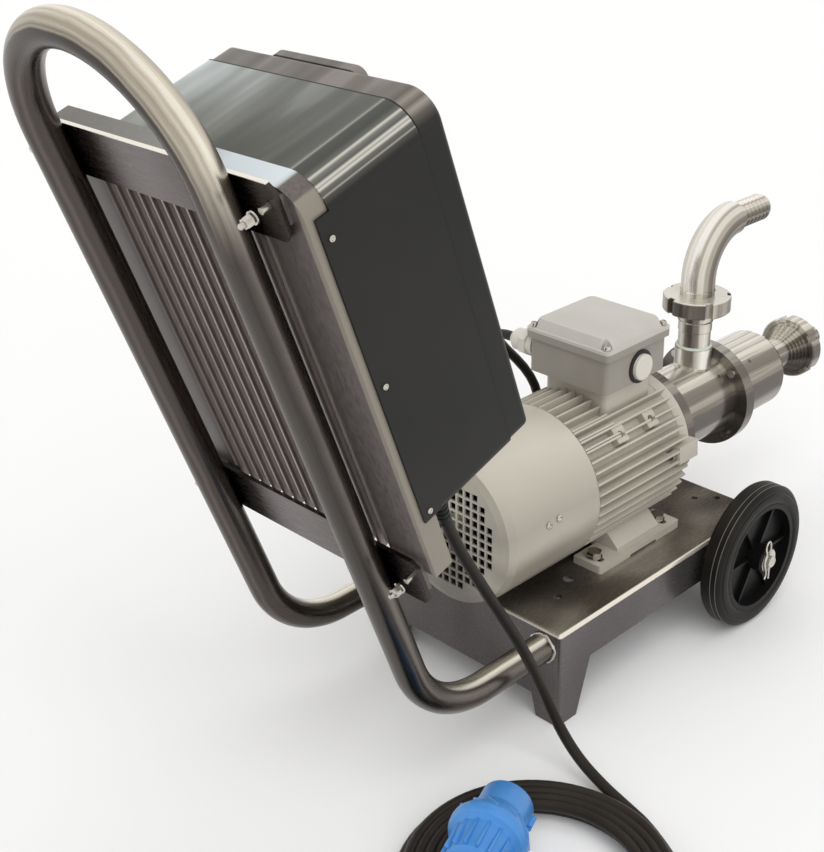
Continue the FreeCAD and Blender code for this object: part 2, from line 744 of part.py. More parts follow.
def make_cover():
    wall = CASE_WALL
    shell = case_outline(0, SINK_FRONT, CASE_SEAM).cut(case_outline(wall, SINK_FRONT - 1, CASE_SEAM + 1))
    low = CASE_BOTTOM + CASE_FOOT_CORNER
    high = CASE_TOP - CASE_CORNER
    flap = block(COVER_SCREW_OUT - 7, SINK_FRONT + 6, CASE_RIGHT, SINK_RIGHT, low - 4, high)
    shell = shell.fuse(flap).cut(screw_bores(M3))
    return leaning(shell.removeSplitter())


def make_front_cap():
    cap = case_outline(CAP_STEP, CASE_SEAM, CASE_FRONT)
    rim = [edge for edge in cap.Edges if edge.BoundBox.XMin > CASE_FRONT - 0.1]
    cap = cap.makeFillet(CAP_EDGE, rim)
    hollow = case_outline(CAP_STEP + CASE_WALL, CASE_SEAM - 1, CASE_FRONT - CAP_EDGE)
    recess = case_outline(CAP_STEP + CAP_EDGE, CASE_SEAM - 1, CASE_FRONT - CASE_WALL)
    return leaning(cap.cut([hollow, recess]))


def make_keypad():
    points = [(PAD_RIGHT, PAD_BOTTOM), (PAD_LEFT, PAD_BOTTOM), (PAD_LEFT, PAD_TOP), (PAD_RIGHT, PAD_TOP)]
    pad = plate_x(points, PAD_CORNER, CASE_FRONT, PAD_FACE)
    front = [edge for edge in pad.Edges if edge.BoundBox.XMin > PAD_FACE - 0.1]
    pad = pad.makeFillet(PAD_EDGE, front)
    for y, s in KEYS.values():
        pad = pad.cut(along_x(KEY_RADIUS + KEY_GAP, KEY_FLOOR, PAD_FACE + 1, y, s))
    return leaning(pad)


def make_key(place):
    y, s = place
    key = along_x(KEY_RADIUS, KEY_FLOOR + KEY_TRAVEL + KEY_GAP, PAD_FACE + KEY_PROUD, y, s)
    front = [edge for edge in key.Edges if edge.BoundBox.XMin > PAD_FACE + KEY_PROUD - 0.1]
    return leaning(key.makeFillet(0.8, front))


def make_cover_screws():
    screws = []
    for s in COVER_SCREWS:
        seat = V(COVER_SCREW_OUT, CASE_RIGHT, s)
        head = cylinder(3.5, seat.add(V(0, -2, 0)), seat)
        outer = [edge for edge in head.Edges if edge.BoundBox.YMax < CASE_RIGHT - 1.9]
        head = head.makeFillet(1.2, outer)
        screws.append(leaning(head.fuse(cylinder(M3, seat, seat.add(V(0, 8, 0))))))
    return Part.makeCompound(screws)


def make_circuit_board():
    top = BOARD_BACK + BOARD_THICKNESS
    board = block(BOARD_BACK, top, *BOARD_SPAN)
    for y, s in BOARD_POSTS:
        board = board.fuse(along_x(4.0, SINK_FRONT, BOARD_BACK, y, s))
    for y, s in CAPACITORS:
        board = board.fuse(along_x(CAPACITOR_RADIUS, top, top + CAPACITOR_HEIGHT, y, s))
    return leaning(board.fuse([block(*POWER_MODULE), block(*CONTROL_MODULE)]))


def gland(start, heading):
    """Hex, body and nose one after the other from start along heading."""
    heading = V(heading).normalize()
    hex_end = start.add(V(heading).multiply(GLAND_HEX_LENGTH))
    length = GLAND_BODY_LENGTH + GLAND_NOSE_LENGTH
    profile = [(0, 0), (0, GLAND_BODY), (GLAND_BODY_LENGTH, GLAND_BODY), (length, GLAND_NOSE), (length, 0)]
    return hex_prism(2 * GLAND_HEX, start, hex_end).fuse(turned(profile, hex_end, heading))


def gland_length():
    return GLAND_HEX_LENGTH + GLAND_BODY_LENGTH + GLAND_NOSE_LENGTH


def down_lean():
    return lean_point(0, 0, 0).sub(lean_point(0, 1, 0))


def make_mains_gland():
    y, out = MAINS_GLAND
    return gland(lean_point(y, CASE_BOTTOM, out), down_lean())


def make_motor_cable_glands():
    y, out = MOTOR_GLAND
    upper = gland(lean_point(y, CASE_BOTTOM, out), down_lean())
    place = V(CABLE_GLAND_STATION, BOX_HALF_WIDTH, CABLE_GLAND_HEIGHT)
    neck_end = V(place.x, CABLE_GLAND_END - gland_length(), place.z)
    lower = gland(neck_end, V(0, 1, 0)).fuse(cylinder(GLAND_BODY, place, neck_end))
    return Part.makeCompound([upper, lower])


def motor_cable_points():
    y, out = MOTOR_GLAND
    start = lean_point(y, CASE_BOTTOM - gland_length(), out)
    below = lean_point(y, CASE_BOTTOM - gland_length() - 88, out)
    points = [start, below, V(-50, 70, 168), V(40, 104, 138), V(122, 104, 136)]
    points += [V(205, 104, 140), V(212, 90, 212), V(CABLE_GLAND_STATION, 122, CABLE_GLAND_HEIGHT)]
    points.append(V(CABLE_GLAND_STATION, CABLE_GLAND_END, CABLE_GLAND_HEIGHT))
    return points


def make_motor_cable():
    wire, smallest = route(motor_cable_points(), 0.9)
    cable = tube_along(wire, CORD_RADIUS)
    report_tube("motor cable", wire, smallest, cable)
    return cable


def make_fan_cover():
    wall = FAN_COVER_WALL
    rear = FAN_COVER_REAR
    face = FAN_COVER_FACE_RADIUS
    side = FAN_COVER_RADIUS
    edge = FAN_COVER_EDGE_STATION
    front = FAN_COVER_FRONT
    middle = FAN_COVER_SWELL_STATION
    slope = FAN_COVER_SWELL_RADIUS
    points = [(rear, 0), (rear, face), (middle, slope), (edge, side), (front, side), (front, side - wall)]
    points += [(edge, side - wall), (middle + wall, slope - wall)]
    points += [(rear + wall, face - wall), (rear + wall, 0)]
    cover = turned_x(points)
    holes = []
    steps = int(GRILLE_RADIUS / GRILLE_PITCH)
    half = GRILLE_HOLE / 2
    for i in range(-steps, steps + 1):
        for j in range(-steps, steps + 1):
            y = i * GRILLE_PITCH
            z = AXIS_HEIGHT + j * GRILLE_PITCH
            reach = math.hypot(abs(y) + half, abs(j * GRILLE_PITCH) + half)
            if reach < GRILLE_RADIUS:
                holes.append(block(rear - 1, rear + wall + 1, y - half, y + half, z - half, z + half))
    return cover.cut(holes)


def radial_block(angle, first, last, half_width, inner, outer):
    """Block pointing away from the motor axis, angle counted from the top towards -Y."""
    piece = block(first, last, -half_width, half_width, inner, outer)
    piece.rotate(V(0, 0, 0), V(1, 0, 0), angle)
    piece.translate(AXIS)
    return piece


def make_motor_frame():
    frame = along_x(FRAME_RADIUS, FRAME_REAR, FRAME_FRONT)
    pieces = []
    root = MOTOR_FIN_ROOT / 2
    tip = MOTOR_FIN_TIP / 2
    low = FRAME_RADIUS - 2
    for angle in MOTOR_FIN_ANGLES:
        for sign in (-1, 1):
            if angle == 180 and sign > 0:
                continue
            section = [(-root, low), (root, low), (tip, MOTOR_FIN_RADIUS), (-tip, MOTOR_FIN_RADIUS)]
            fin = plate_x(section, 0, MOTOR_FIN_START, FRAME_FRONT)
            fin.rotate(V(0, 0, 0), V(1, 0, 0), sign * angle)
            fin.translate(AXIS)
            pieces.append(fin)
    pedestal = rectangle(PEDESTAL_REAR, PEDESTAL_FRONT, PEDESTAL_HALF_WIDTH)
    pieces.append(plate_z(pedestal, LID_CORNER, AXIS_HEIGHT + 40, BOX_FLOOR))
    for x in BOSS_STATIONS:
        for sign in (-1, 1):
            angle = sign * BOSS_ANGLE
            pieces.append(radial_block(angle, x - BOSS_HALF, x + BOSS_HALF, BOSS_HALF, low, BOSS_TOP))
    for angle in FRONT_LUG_ANGLES:
        pieces.append(radial_block(angle, LUG_REAR, FRAME_FRONT, LUG_HALF_WIDTH, low, LUG_REACH))
    frame = frame.fuse(pieces)
    frame = frame.cut(along_x(FRAME_BORE, FRAME_REAR - 1, FRAME_FRONT + 1))
    holes = lug_cylinders(LUG_HEAD_ROOM, LUG_REAR - 2 * LUG_HEAD_LENGTH, LUG_REAR)
    holes += lug_cylinders(M5, LUG_REAR, FRAME_FRONT)
    for x in BOSS_STATIONS:
        for sign in (-1, 1):
            hole = Part.makeCylinder(3.5, 12, V(x, 0, BOSS_TOP - 8))
            hole.rotate(V(0, 0, 0), V(1, 0, 0), sign * BOSS_ANGLE)
            hole.translate(AXIS)
            holes.append(hole)
    return frame.cut(holes).removeSplitter()


def make_motor_feet():
    top = TRAY_TOP + FOOT_THICKNESS
    corners = [(FOOT_REAR, FOOT_INNER), (FOOT_FRONT, FOOT_INNER)]
    corners += [(FOOT_FRONT, FOOT_OUTER), (FOOT_REAR, FOOT_OUTER)]
    base = plate_z(corners, [0, 0, 3, 3], TRAY_TOP, top)
    first, last = FOOT_BLOCK
    web = plate_x([(y, top + z) for y, z in FOOT_WEB], 0, first, last)
    foot = base.fuse(web)
    low = TRAY_TOP - 1
    for x in FOOT_BOLTS:
        start = cylinder(M8_HOLE, V(x, FOOT_SLOT_START, low), V(x, FOOT_SLOT_START, top + 1))
        end = cylinder(M8_HOLE, V(x, FOOT_SLOT_END, low), V(x, FOOT_SLOT_END, top + 1))
        middle = block(x - M8_HOLE, x + M8_HOLE, FOOT_SLOT_START, FOOT_SLOT_END, low, top + 1)
        foot = foot.cut(start.fuse([end, middle]))
    ceiling = TRAY_TOP + FOOT_RELIEF_HEIGHT
    foot = foot.cut(block(first + FOOT_RELIEF, last - FOOT_RELIEF, 0, FOOT_OUTER + 1, low, ceiling))
    foot = foot.cut(along_x(FRAME_RADIUS, FOOT_REAR - 1, FOOT_FRONT + 1)).removeSplitter()
    return Part.makeCompound([foot, mirrored(foot)])


def make_foot_bolts():
    seat = TRAY_TOP + FOOT_THICKNESS
    washer_top = seat + WASHER_8_HEIGHT
    below = TRAY_TOP - SHEET
    bolts = []
    for x in FOOT_BOLTS:
        for y in (-FOOT_BOLT_OFFSET, FOOT_BOLT_OFFSET):
            washer = cylinder(WASHER_8, V(x, y, seat), V(x, y, washer_top))
            head = hex_prism(NUT_FLATS, V(x, y, washer_top), V(x, y, washer_top + 5.3))
            shank = cylinder(M8, V(x, y, below - 10), V(x, y, seat + 1))
            nut = hex_prism(NUT_FLATS, V(x, y, below - NUT_HEIGHT), V(x, y, below))
            bolts.append(washer.fuse([head, shank, nut]))
    return Part.makeCompound(bolts)


def shield(first, last, seat_first, lug_reach, lug_angles):
    disc = along_x(SHIELD_RADIUS, first, last)
    lugs = [radial_block(angle, first, last, LUG_HALF_WIDTH, 50, lug_reach) for angle in lug_angles]
    disc = disc.fuse(lugs)
    seat = along_x(BEARING_RADIUS, seat_first, seat_first + BEARING_WIDTH)
    return disc.cut([seat, along_x(SHAFT_RADIUS + 1.5, first - 1, last + 1)]).removeSplitter()


def make_front_shield():
    body = shield(FRAME_FRONT, SHIELD_FRONT, FRAME_FRONT, LUG_REACH, FRONT_LUG_ANGLES)
    return body.cut(lug_cylinders(M5, FRAME_FRONT - 1, SHIELD_FRONT + 1))


def make_rear_shield():
    last = FRAME_REAR
    reach = FAN_COVER_RADIUS - FAN_COVER_WALL - 0.6
    return shield(last - REAR_SHIELD_WIDTH, last, last - BEARING_WIDTH, reach, REAR_LUG_ANGLES)


def lug_cylinders(radius, first, last):
    cylinders = []
    for angle in FRONT_LUG_ANGLES:
        piece = cylinder(radius, V(first, 0, LUG_BOLT_RADIUS), V(last, 0, LUG_BOLT_RADIUS))
        piece.rotate(V(0, 0, 0), V(1, 0, 0), angle)
        piece.translate(AXIS)
        cylinders.append(piece)
    return cylinders


def make_shield_bolts():
    bolts = []
    for angle, shank in zip(FRONT_LUG_ANGLES, lug_cylinders(M5 - 0.05, LUG_REAR, SHIELD_FRONT)):
        seat = V(LUG_REAR, 0, LUG_BOLT_RADIUS)
        head = hex_prism(8.0, seat.sub(V(LUG_HEAD_LENGTH, 0, 0)), seat)
        head.rotate(V(0, 0, 0), V(1, 0, 0), angle)
        head.translate(AXIS)
        bolts.append(head.fuse(shank))
    return Part.makeCompound(bolts)


def make_stator_core():
    return ring_x(FRAME_BORE, CORE_BORE, CORE_REAR, CORE_FRONT)


def make_stator_winding():
    rear = ring_x(FRAME_BORE - 2, CORE_BORE + 3, CORE_REAR - WINDING_LENGTH, CORE_REAR)
    front = ring_x(FRAME_BORE - 2, CORE_BORE + 3, CORE_FRONT, CORE_FRONT + WINDING_LENGTH)
    return Part.makeCompound([rear, front])


def make_shaft_bearings():
    bore = SHAFT_RADIUS + RUNNING_CLEARANCE
    rear = ring_x(BEARING_RADIUS, bore, FRAME_REAR - BEARING_WIDTH, FRAME_REAR)
    front = ring_x(BEARING_RADIUS, bore, FRAME_FRONT, FRAME_FRONT + BEARING_WIDTH)
    return Part.makeCompound([rear, front])


def make_motor_shaft():
    shaft = along_x(SHAFT_RADIUS, SHAFT_REAR, SHAFT_FRONT)
    hub = along_x(DRIVE_HUB_RADIUS, SHAFT_FRONT - HUB_OVERLAP, DRIVE_HUB_FRONT)
    socket = along_x(SOCKET_RADIUS, DRIVE_BALL - 1, DRIVE_HUB_FRONT + 1)
    cup = Part.makeSphere(SOCKET_RADIUS, V(DRIVE_BALL, 0, AXIS_HEIGHT))
    return shaft.fuse(hub).cut([socket, cup])


def make_rotor_core():
    return ring_x(ROTOR_CORE_RADIUS, SHAFT_RADIUS, CORE_REAR - 2, CORE_FRONT + 2)


def make_cooling_fan():
    fan = along_x(*FAN_HUB).fuse(along_x(*FAN_DISC))
    first, last, root, tip = FAN_BLADE
    for i in range(FAN_BLADES):
        fan = fan.fuse(radial_block(360 / FAN_BLADES * i, first, last, FAN_BLADE_HALF, root, tip))
    return fan.cut(along_x(SHAFT_RADIUS, FAN_HUB[1] - 1, FAN_HUB[2] + 1)).removeSplitter()


def make_terminal_box():
    body = plate_z(rectangle(BOX_REAR, BOX_FRONT, BOX_HALF_WIDTH), BOX_CORNER, BOX_FLOOR, BOX_RIM_TOP)
    rim = plate_z(rectangle(RIM_REAR, RIM_FRONT, RIM_HALF_WIDTH), BOX_CORNER, BOX_RIM_FLOOR, BOX_RIM_TOP)
    inside = rectangle(BOX_REAR + BOX_WALL, BOX_FRONT - BOX_WALL, BOX_HALF_WIDTH - BOX_WALL)
    room = plate_z(inside, BOX_CORNER - BOX_WALL, BOX_FLOOR + BOX_WALL, BOX_RIM_TOP + 1)
    return body.fuse(rim).cut(room).removeSplitter()


def make_terminal_lid():
    skirt_top = BOX_RIM_TOP + LID_SKIRT
    skirt = plate_z(rectangle(RIM_REAR, RIM_FRONT, RIM_HALF_WIDTH), BOX_CORNER, BOX_RIM_TOP, skirt_top)
    low = rectangle(RIM_REAR + LID_SKIRT, RIM_FRONT - LID_SKIRT, RIM_HALF_WIDTH - LID_SKIRT)
    high = rectangle(LID_REAR, LID_FRONT, LID_HALF_WIDTH)
    base = outline([V(x, y, skirt_top) for x, y in low], [LID_CORNER] * 4)
    crown = outline([V(x, y, LID_TOP) for x, y in high], [LID_CORNER] * 4)
    lid = skirt.fuse(Part.makeLoft([base, crown], True, True))
    notches = []
    for x, y in rectangle(RIM_REAR + LID_CORNER, RIM_FRONT - LID_CORNER, RIM_HALF_WIDTH - LID_CORNER):
        notches.append(cylinder(LID_NOTCH, V(x, y, skirt_top), V(x, y, LID_TOP + 1)))
    return lid.cut(notches).removeSplitter()


def make_blanking_plug():
    seat = V(PLUG_STATION, -BOX_HALF_WIDTH, PLUG_HEIGHT)
    face = seat.sub(V(0, PLUG_RING, 0))
    ring = cylinder(PLUG_RADIUS + PLUG_RING, face, seat)
    cap = cylinder(PLUG_RADIUS, seat.sub(V(0, PLUG_DEPTH, 0)), face)
    front = [edge for edge in cap.Edges if edge.BoundBox.YMax < seat.y - PLUG_DEPTH + 0.1]
    return ring.fuse(cap.makeFillet(PLUG_RING, front))


def up_from(radius, low, high):
    """Upright cylinder on the outlet's axis."""
    return cylinder(radius, V(OUTLET_STATION, 0, low), V(OUTLET_STATION, 0, high))


def make_pump_casing():
    wall_rear, wall_front = CHAMBER_WALL
    points = [(SHIELD_FRONT, 40.0), (SHIELD_FRONT, ADAPTER_RADIUS), (ADAPTER_FRONT, ADAPTER_RADIUS)]
    points += [(ADAPTER_FRONT, CHAMBER_RADIUS + 2), (ADAPTER_FRONT + 2, CHAMBER_RADIUS)]
    points += [(FLANGE_REAR, CHAMBER_RADIUS), (FLANGE_REAR, FLANGE_RADIUS), (FLANGE_SPLIT, FLANGE_RADIUS)]
    points += [(FLANGE_SPLIT, CHAMBER_BORE), (wall_front, CHAMBER_BORE), (wall_front, SEAL_OUTER)]
    points += [(wall_rear, SEAL_OUTER), (wall_rear, 37.0), (wall_rear - 16, 40.0)]
    casing = turned_x(points)
    boss = up_from(OUTLET_BOSS_RADIUS, AXIS_HEIGHT + 30, OUTLET_BOSS_TOP)
    casing = casing.fuse(boss.cut(along_x(CHAMBER_RADIUS - 2, FLANGE_REAR - 60, FLANGE_REAR)))
    bore = up_from(PIPE_BORE, AXIS_HEIGHT, OUTLET_BOSS_TOP + 1)
    thread = up_from(NIPPLE_RADIUS, OUTLET_BOSS_TOP - NIPPLE_DEPTH, OUTLET_BOSS_TOP + 1)
    casing = casing.cut([bore, thread])
    return casing.cut(flange_bores(FLANGE_REAR - 1, FLANGE_FRONT + 1)).removeSplitter()


def flange_bores(first, last, radius=FLANGE_SCREW_BORE):
    bores = []
    for i in range(FLANGE_SCREW_COUNT):
        angle = math.radians(360 / FLANGE_SCREW_COUNT * i + FLANGE_SCREW_TURN)
        y = FLANGE_SCREW_CIRCLE * math.cos(angle)
        z = AXIS_HEIGHT + FLANGE_SCREW_CIRCLE * math.sin(angle)
        bores.append(along_x(radius, first, last, y, z))
    return bores


def make_flange_screws():
    heads = flange_bores(FLANGE_REAR - 4, FLANGE_REAR, FLANGE_SCREW_HEAD)
    shanks = flange_bores(FLANGE_REAR - 1, FLANGE_FRONT, FLANGE_SCREW)
    return Part.makeCompound([head.fuse(shank) for head, shank in zip(heads, shanks)])


def make_seal_seat():
    wall_rear, wall_front = CHAMBER_WALL
    return ring_x(SEAL_OUTER, SHAFT_RADIUS + 0.5, wall_rear, wall_front)


def make_seal_ring():
    first = CHAMBER_WALL[1] + SEAL_GAP
    return ring_x(DRIVE_HUB_RADIUS, SHAFT_RADIUS, first, SHAFT_FRONT - HUB_OVERLAP)


def make_coupling_rod():
    drive = V(DRIVE_BALL, 0, AXIS_HEIGHT)
    head = V(HEAD_BALL, 0, AXIS_HEIGHT + ECCENTRICITY)
    rod = cylinder(ROD_RADIUS, drive, head)
    return rod.fuse([Part.makeSphere(BALL_RADIUS, drive), Part.makeSphere(BALL_RADIUS, head)])


def screw_angle(x):
    return math.radians(360 * (x - ROTOR_START) / ROTOR_PITCH)


def make_pump_rotor():
    z = AXIS_HEIGHT + ECCENTRICITY
    sections = []
    for i in range(ROTOR_SECTION_COUNT + 1):
        x = ROTOR_START + (ROTOR_END - ROTOR_START) * i / ROTOR_SECTION_COUNT
        angle = screw_angle(x)
        centre = V(x, -ECCENTRICITY * math.sin(angle), z + ECCENTRICITY * math.cos(angle))
        sections.append(Part.Wire(Part.makeCircle(ROTOR_RADIUS, centre, V(1, 0, 0))))
    screw = Part.makeLoft(sections, True, False)
    head = along_x(HEAD_RADIUS, HEAD_REAR, ROTOR_START, 0, z)
    cup = Part.makeSphere(SOCKET_RADIUS, V(HEAD_BALL, 0, z))
    socket = along_x(SOCKET_RADIUS, HEAD_REAR - 1, HEAD_BALL, 0, z)
    return head.fuse(screw).cut([cup, socket])


def cavity_section(x):
    """Slot with round ends, its long axis turned by half the rotor's angle."""
    half_width = ROTOR_RADIUS + CAVITY_CLEARANCE
    reach = 2 * ECCENTRICITY
    angle = screw_angle(x) / 2
    long_axis = V(0, -math.sin(angle), math.cos(angle))
    cross_axis = V(0, math.cos(angle), math.sin(angle))
    centre = V(x, 0, AXIS_HEIGHT)
    top = centre.add(V(long_axis).multiply(reach))
    bottom = centre.sub(V(long_axis).multiply(reach))
    side = V(cross_axis).multiply(half_width)
    cap = V(long_axis).multiply(half_width)
    return Part.Wire([
        Part.LineSegment(bottom.add(side), top.add(side)).toShape(),
        Part.Arc(top.add(side), top.add(cap), top.sub(side)).toShape(),
        Part.LineSegment(top.sub(side), bottom.sub(side)).toShape(),
        Part.Arc(bottom.sub(side), bottom.sub(cap), bottom.add(side)).toShape(),
    ])


def make_pump_stator():
    rubber = along_x(STATOR_RADIUS, FLANGE_SPLIT, STATOR_FRONT)
    first = ROTOR_START - 1
    last = STATOR_FRONT + 1
    sections = []
    for i in range(CAVITY_SECTION_COUNT + 1):
        sections.append(cavity_section(first + (last - first) * i / CAVITY_SECTION_COUNT))
    cavity = Part.makeLoft(sections, True, False)
    mouth = along_x(MOUTH_RADIUS, FLANGE_SPLIT - 1, ROTOR_START + MOUTH_GAP)
    return rubber.cut([cavity, mouth])


def make_stator_housing():
    points = [(FLANGE_SPLIT, STATOR_RADIUS), (FLANGE_SPLIT, FLANGE_RADIUS), (FLANGE_FRONT, FLANGE_RADIUS)]
    points += [(FLANGE_FRONT, COLLAR_RADIUS), (COLLAR_FRONT, COLLAR_RADIUS), (COLLAR_FRONT, BARREL_RADIUS)]
    points += [(BARREL_FRONT - 6, BARREL_RADIUS), (BARREL_FRONT - 2, BARREL_RADIUS - 2)]
    points += [(BARREL_FRONT, BARREL_RADIUS - 6), (BARREL_FRONT, NECK_ROOT), (BARREL_FRONT + 12, NECK_RADIUS)]
    station = NECK_END
    radius = NECK_RADIUS
    for i in range(NECK_RING_COUNT):
        points += [(station, radius), (station, radius + NECK_RING_RISE)]
        station += NECK_RING_LENGTH
        radius += NECK_RING_RISE
    points += [(THREAD_START, radius), (THREAD_START, UNION_THREAD), (UNION_FACE, UNION_THREAD)]
    points += [(UNION_FACE, PIPE_BORE), (STATOR_FRONT + 2, PIPE_BORE)]
    points += [(STATOR_FRONT, NECK_ROOT), (STATOR_FRONT, STATOR_RADIUS)]
    housing = turned_x(points)
    return housing.cut(flange_bores(FLANGE_REAR - 1, FLANGE_FRONT + 1))


def union_nut(base, heading, length):
    """Slotted round nut, open at its base and lipped at its far end."""
    outer = UNION_RADIUS - UNION_CHAMFER
    lip = length - UNION_LIP
    points = [(0, UNION_BORE), (0, outer), (UNION_CHAMFER, UNION_RADIUS)]
    points += [(length - UNION_CHAMFER, UNION_RADIUS), (length, outer)]
    points += [(length, PIPE_RADIUS + 0.1), (lip, PIPE_RADIUS + 0.1), (lip, UNION_BORE)]
    nut = turned(points, V(0, 0, 0), V(0, 0, 1))
    slots = []
    for i in range(UNION_SLOTS):
        slot = block(UNION_SLOT_FLOOR, UNION_RADIUS + 2, -UNION_SLOT / 2, UNION_SLOT / 2, -1, length + 1)
        slot.rotate(V(0, 0, 0), V(0, 0, 1), 360 / UNION_SLOTS * i + 20)
        slots.append(slot)
    nut = nut.cut(slots)
    nut.Placement = FreeCAD.Placement(base, FreeCAD.Rotation(V(0, 0, 1), heading))
    return nut


def make_outlet_nut():
    first, last = OUTLET_NUT
    return union_nut(V(OUTLET_STATION, 0, first), V(0, 0, 1), last - first)


def make_inlet_nut():
    first, last = INLET_NUT
    return union_nut(V(first, 0, AXIS_HEIGHT), V(1, 0, 0), last - first)


def make_outlet_pipe():
    low = OUTLET_BOSS_TOP - NIPPLE_DEPTH
    first = OUTLET_NUT[0]
    points = [(low, PIPE_BORE), (low, NIPPLE_RADIUS), (NIPPLE_STEP, NIPPLE_RADIUS)]
    points += [(NIPPLE_STEP + 1, PIPE_RADIUS), (first - 4, PIPE_RADIUS)]
    points += [(first, UNION_INSERT - 2), (first + 2, UNION_THREAD)]
    points += [(OUTLET_FACE, UNION_THREAD), (OUTLET_FACE, PIPE_BORE)]
    return turned(points, V(OUTLET_STATION, 0, 0), V(0, 0, 1))


def tail_profile(first, last):
    """Saw-tooth ridges of a hose tail between two stations."""
    points = []
    station = first
    while station + RIDGE_PITCH <= last + 0.01:
        points.append((station, TAIL_CORE))
        points.append((station + RIDGE_RISE, RIDGE_RADIUS))
        points.append((station + RIDGE_RISE + RIDGE_LAND, RIDGE_RADIUS))
        station += RIDGE_PITCH
    points.append((station, TAIL_CORE))
    if last - station > 0.1:
        points.append((last, TAIL_CORE))
    return points


def make_outlet_elbow():
    lip = OUTLET_NUT[1] - UNION_LIP
    base = V(OUTLET_STATION, 0, 0)
    collar = [(OUTLET_FACE, PIPE_BORE), (OUTLET_FACE, UNION_INSERT), (lip, UNION_INSERT)]
    collar += [(lip, PIPE_RADIUS), (ELBOW_START, PIPE_RADIUS), (ELBOW_START, PIPE_BORE)]
    elbow = turned(collar, base, V(0, 0, 1))
    centre = V(OUTLET_STATION + ELBOW_RADIUS, 0, ELBOW_START)
    start = V(OUTLET_STATION, 0, ELBOW_START)
    end = V(centre.x, 0, ELBOW_START + ELBOW_RADIUS)
    reach = ELBOW_RADIUS / math.sqrt(2)
    middle = V(centre.x - reach, 0, centre.z + reach)
    bend = Part.Wire(Part.Arc(start, middle, end).toShape())
    pipe = tube_along(bend, PIPE_RADIUS).cut(tube_along(bend, PIPE_BORE))
    first, last = OUTLET_TAIL
    profile = [(end.x, PIPE_BORE), (end.x, PIPE_RADIUS)] + tail_profile(first, last)
    profile += [(last, TAIL_BORE), ((first + end.x) / 2, TAIL_BORE)]
    tail = turned(profile, V(0, 0, end.z), V(1, 0, 0))
    return elbow.fuse([pipe, tail]).removeSplitter()


def make_inlet_tail():
    nut_front = INLET_NUT[1]
    lip = nut_front - UNION_LIP
    first, last = INLET_TAIL
    points = [(UNION_FACE, PIPE_BORE), (UNION_FACE, UNION_INSERT), (lip, UNION_INSERT)]
    points += [(lip, PIPE_RADIUS), (nut_front + 1, PIPE_RADIUS)] + tail_profile(first, last)
    points += [(last, TAIL_BORE), (lip + 1, TAIL_BORE), (lip - 1, PIPE_BORE)]
    return turned_x(points)


def mains_cord_points():
    y, out = MAINS_GLAND
    start = lean_point(y, CASE_BOTTOM - gland_length(), out)
    second = lean_point(y, CASE_BOTTOM - gland_length() - 46, out)
    points = [start, second, V(-113, -113, 216), V(-86, -116, 168), V(-61, -121, 122), V(-43, -128, 72)]
    points += [V(-37, -149, 26), V(-44, -197, 6.5), V(-53, -241, 6.0)]
    return points


def make_mains_cord():
    wire, smallest = route(mains_cord_points())
    cord = tube_along(wire, CORD_RADIUS)
    report_tube("mains cord", wire, smallest, cord)
    return cord


def make_cord_coil():
    section = [(COIL_INNER, 0), (COIL_OUTER, 0), (COIL_OUTER, COIL_HEIGHT), (COIL_INNER, COIL_HEIGHT)]
    wire = outline([V(r, 0, z) for r, z in section], [CORD_RADIUS] * 4)
    coil = Part.Face(wire).revolve(V(0, 0, 0), V(0, 0, 1), 360)
    coil.translate(COIL_CENTRE)
    return coil


def plug_heading():
    angle = math.radians(PLUG_HEADING)
    return V(math.cos(angle), math.sin(angle), 0)


def placed_on_plug(shape):
    shape.rotate(V(0, 0, 0), V(0, 0, 1), PLUG_TURN)
    turn = FreeCAD.Rotation(V(0, 0, 1), plug_heading())
    shape.Placement = FreeCAD.Placement(PLUG_GRIP, turn).multiply(shape.Placement)
    return shape


def make_mains_plug():
    skirt_end = SKIRT_START + SKIRT_LENGTH
    inside = SKIRT_RADIUS - SKIRT_WALL
    points = [(PLUG_BACK[0][0], 0)] + list(PLUG_BACK)
    points += [(-6.0, GRIP_RADIUS), (6.0, GRIP_RADIUS), (12.0, 27.0), (SKIRT_START, SKIRT_RADIUS)]
    points += [(skirt_end, SKIRT_RADIUS), (skirt_end, inside), (SKIRT_FLOOR, inside), (SKIRT_FLOOR, 0)]
    plug = turned(points, V(0, 0, 0), V(0, 0, 1))
    lug = block(SKIRT_RADIUS - 1, SKIRT_RADIUS + 4, -3.5, 3.5, skirt_end - 16, skirt_end - 1)
    return placed_on_plug(plug.fuse(lug).cut(pin_cylinders(SKIRT_FLOOR)))


def pin_cylinders(length):
    pins = []
    for angle, radius in PINS:
        turn = math.radians(angle)
        root = V(PIN_CIRCLE * math.cos(turn), PIN_CIRCLE * math.sin(turn), PIN_ROOT)
        pins.append(Part.makeCylinder(radius, length, root))
    return pins


def make_plug_pins():
    solids = []
    for pin in pin_cylinders(PIN_LENGTH):
        tip = [edge for edge in pin.Edges if edge.BoundBox.ZMin > PIN_ROOT + PIN_LENGTH - 0.1]
        solids.append(pin.makeFillet(1.0, tip))
    return placed_on_plug(Part.makeCompound(solids))


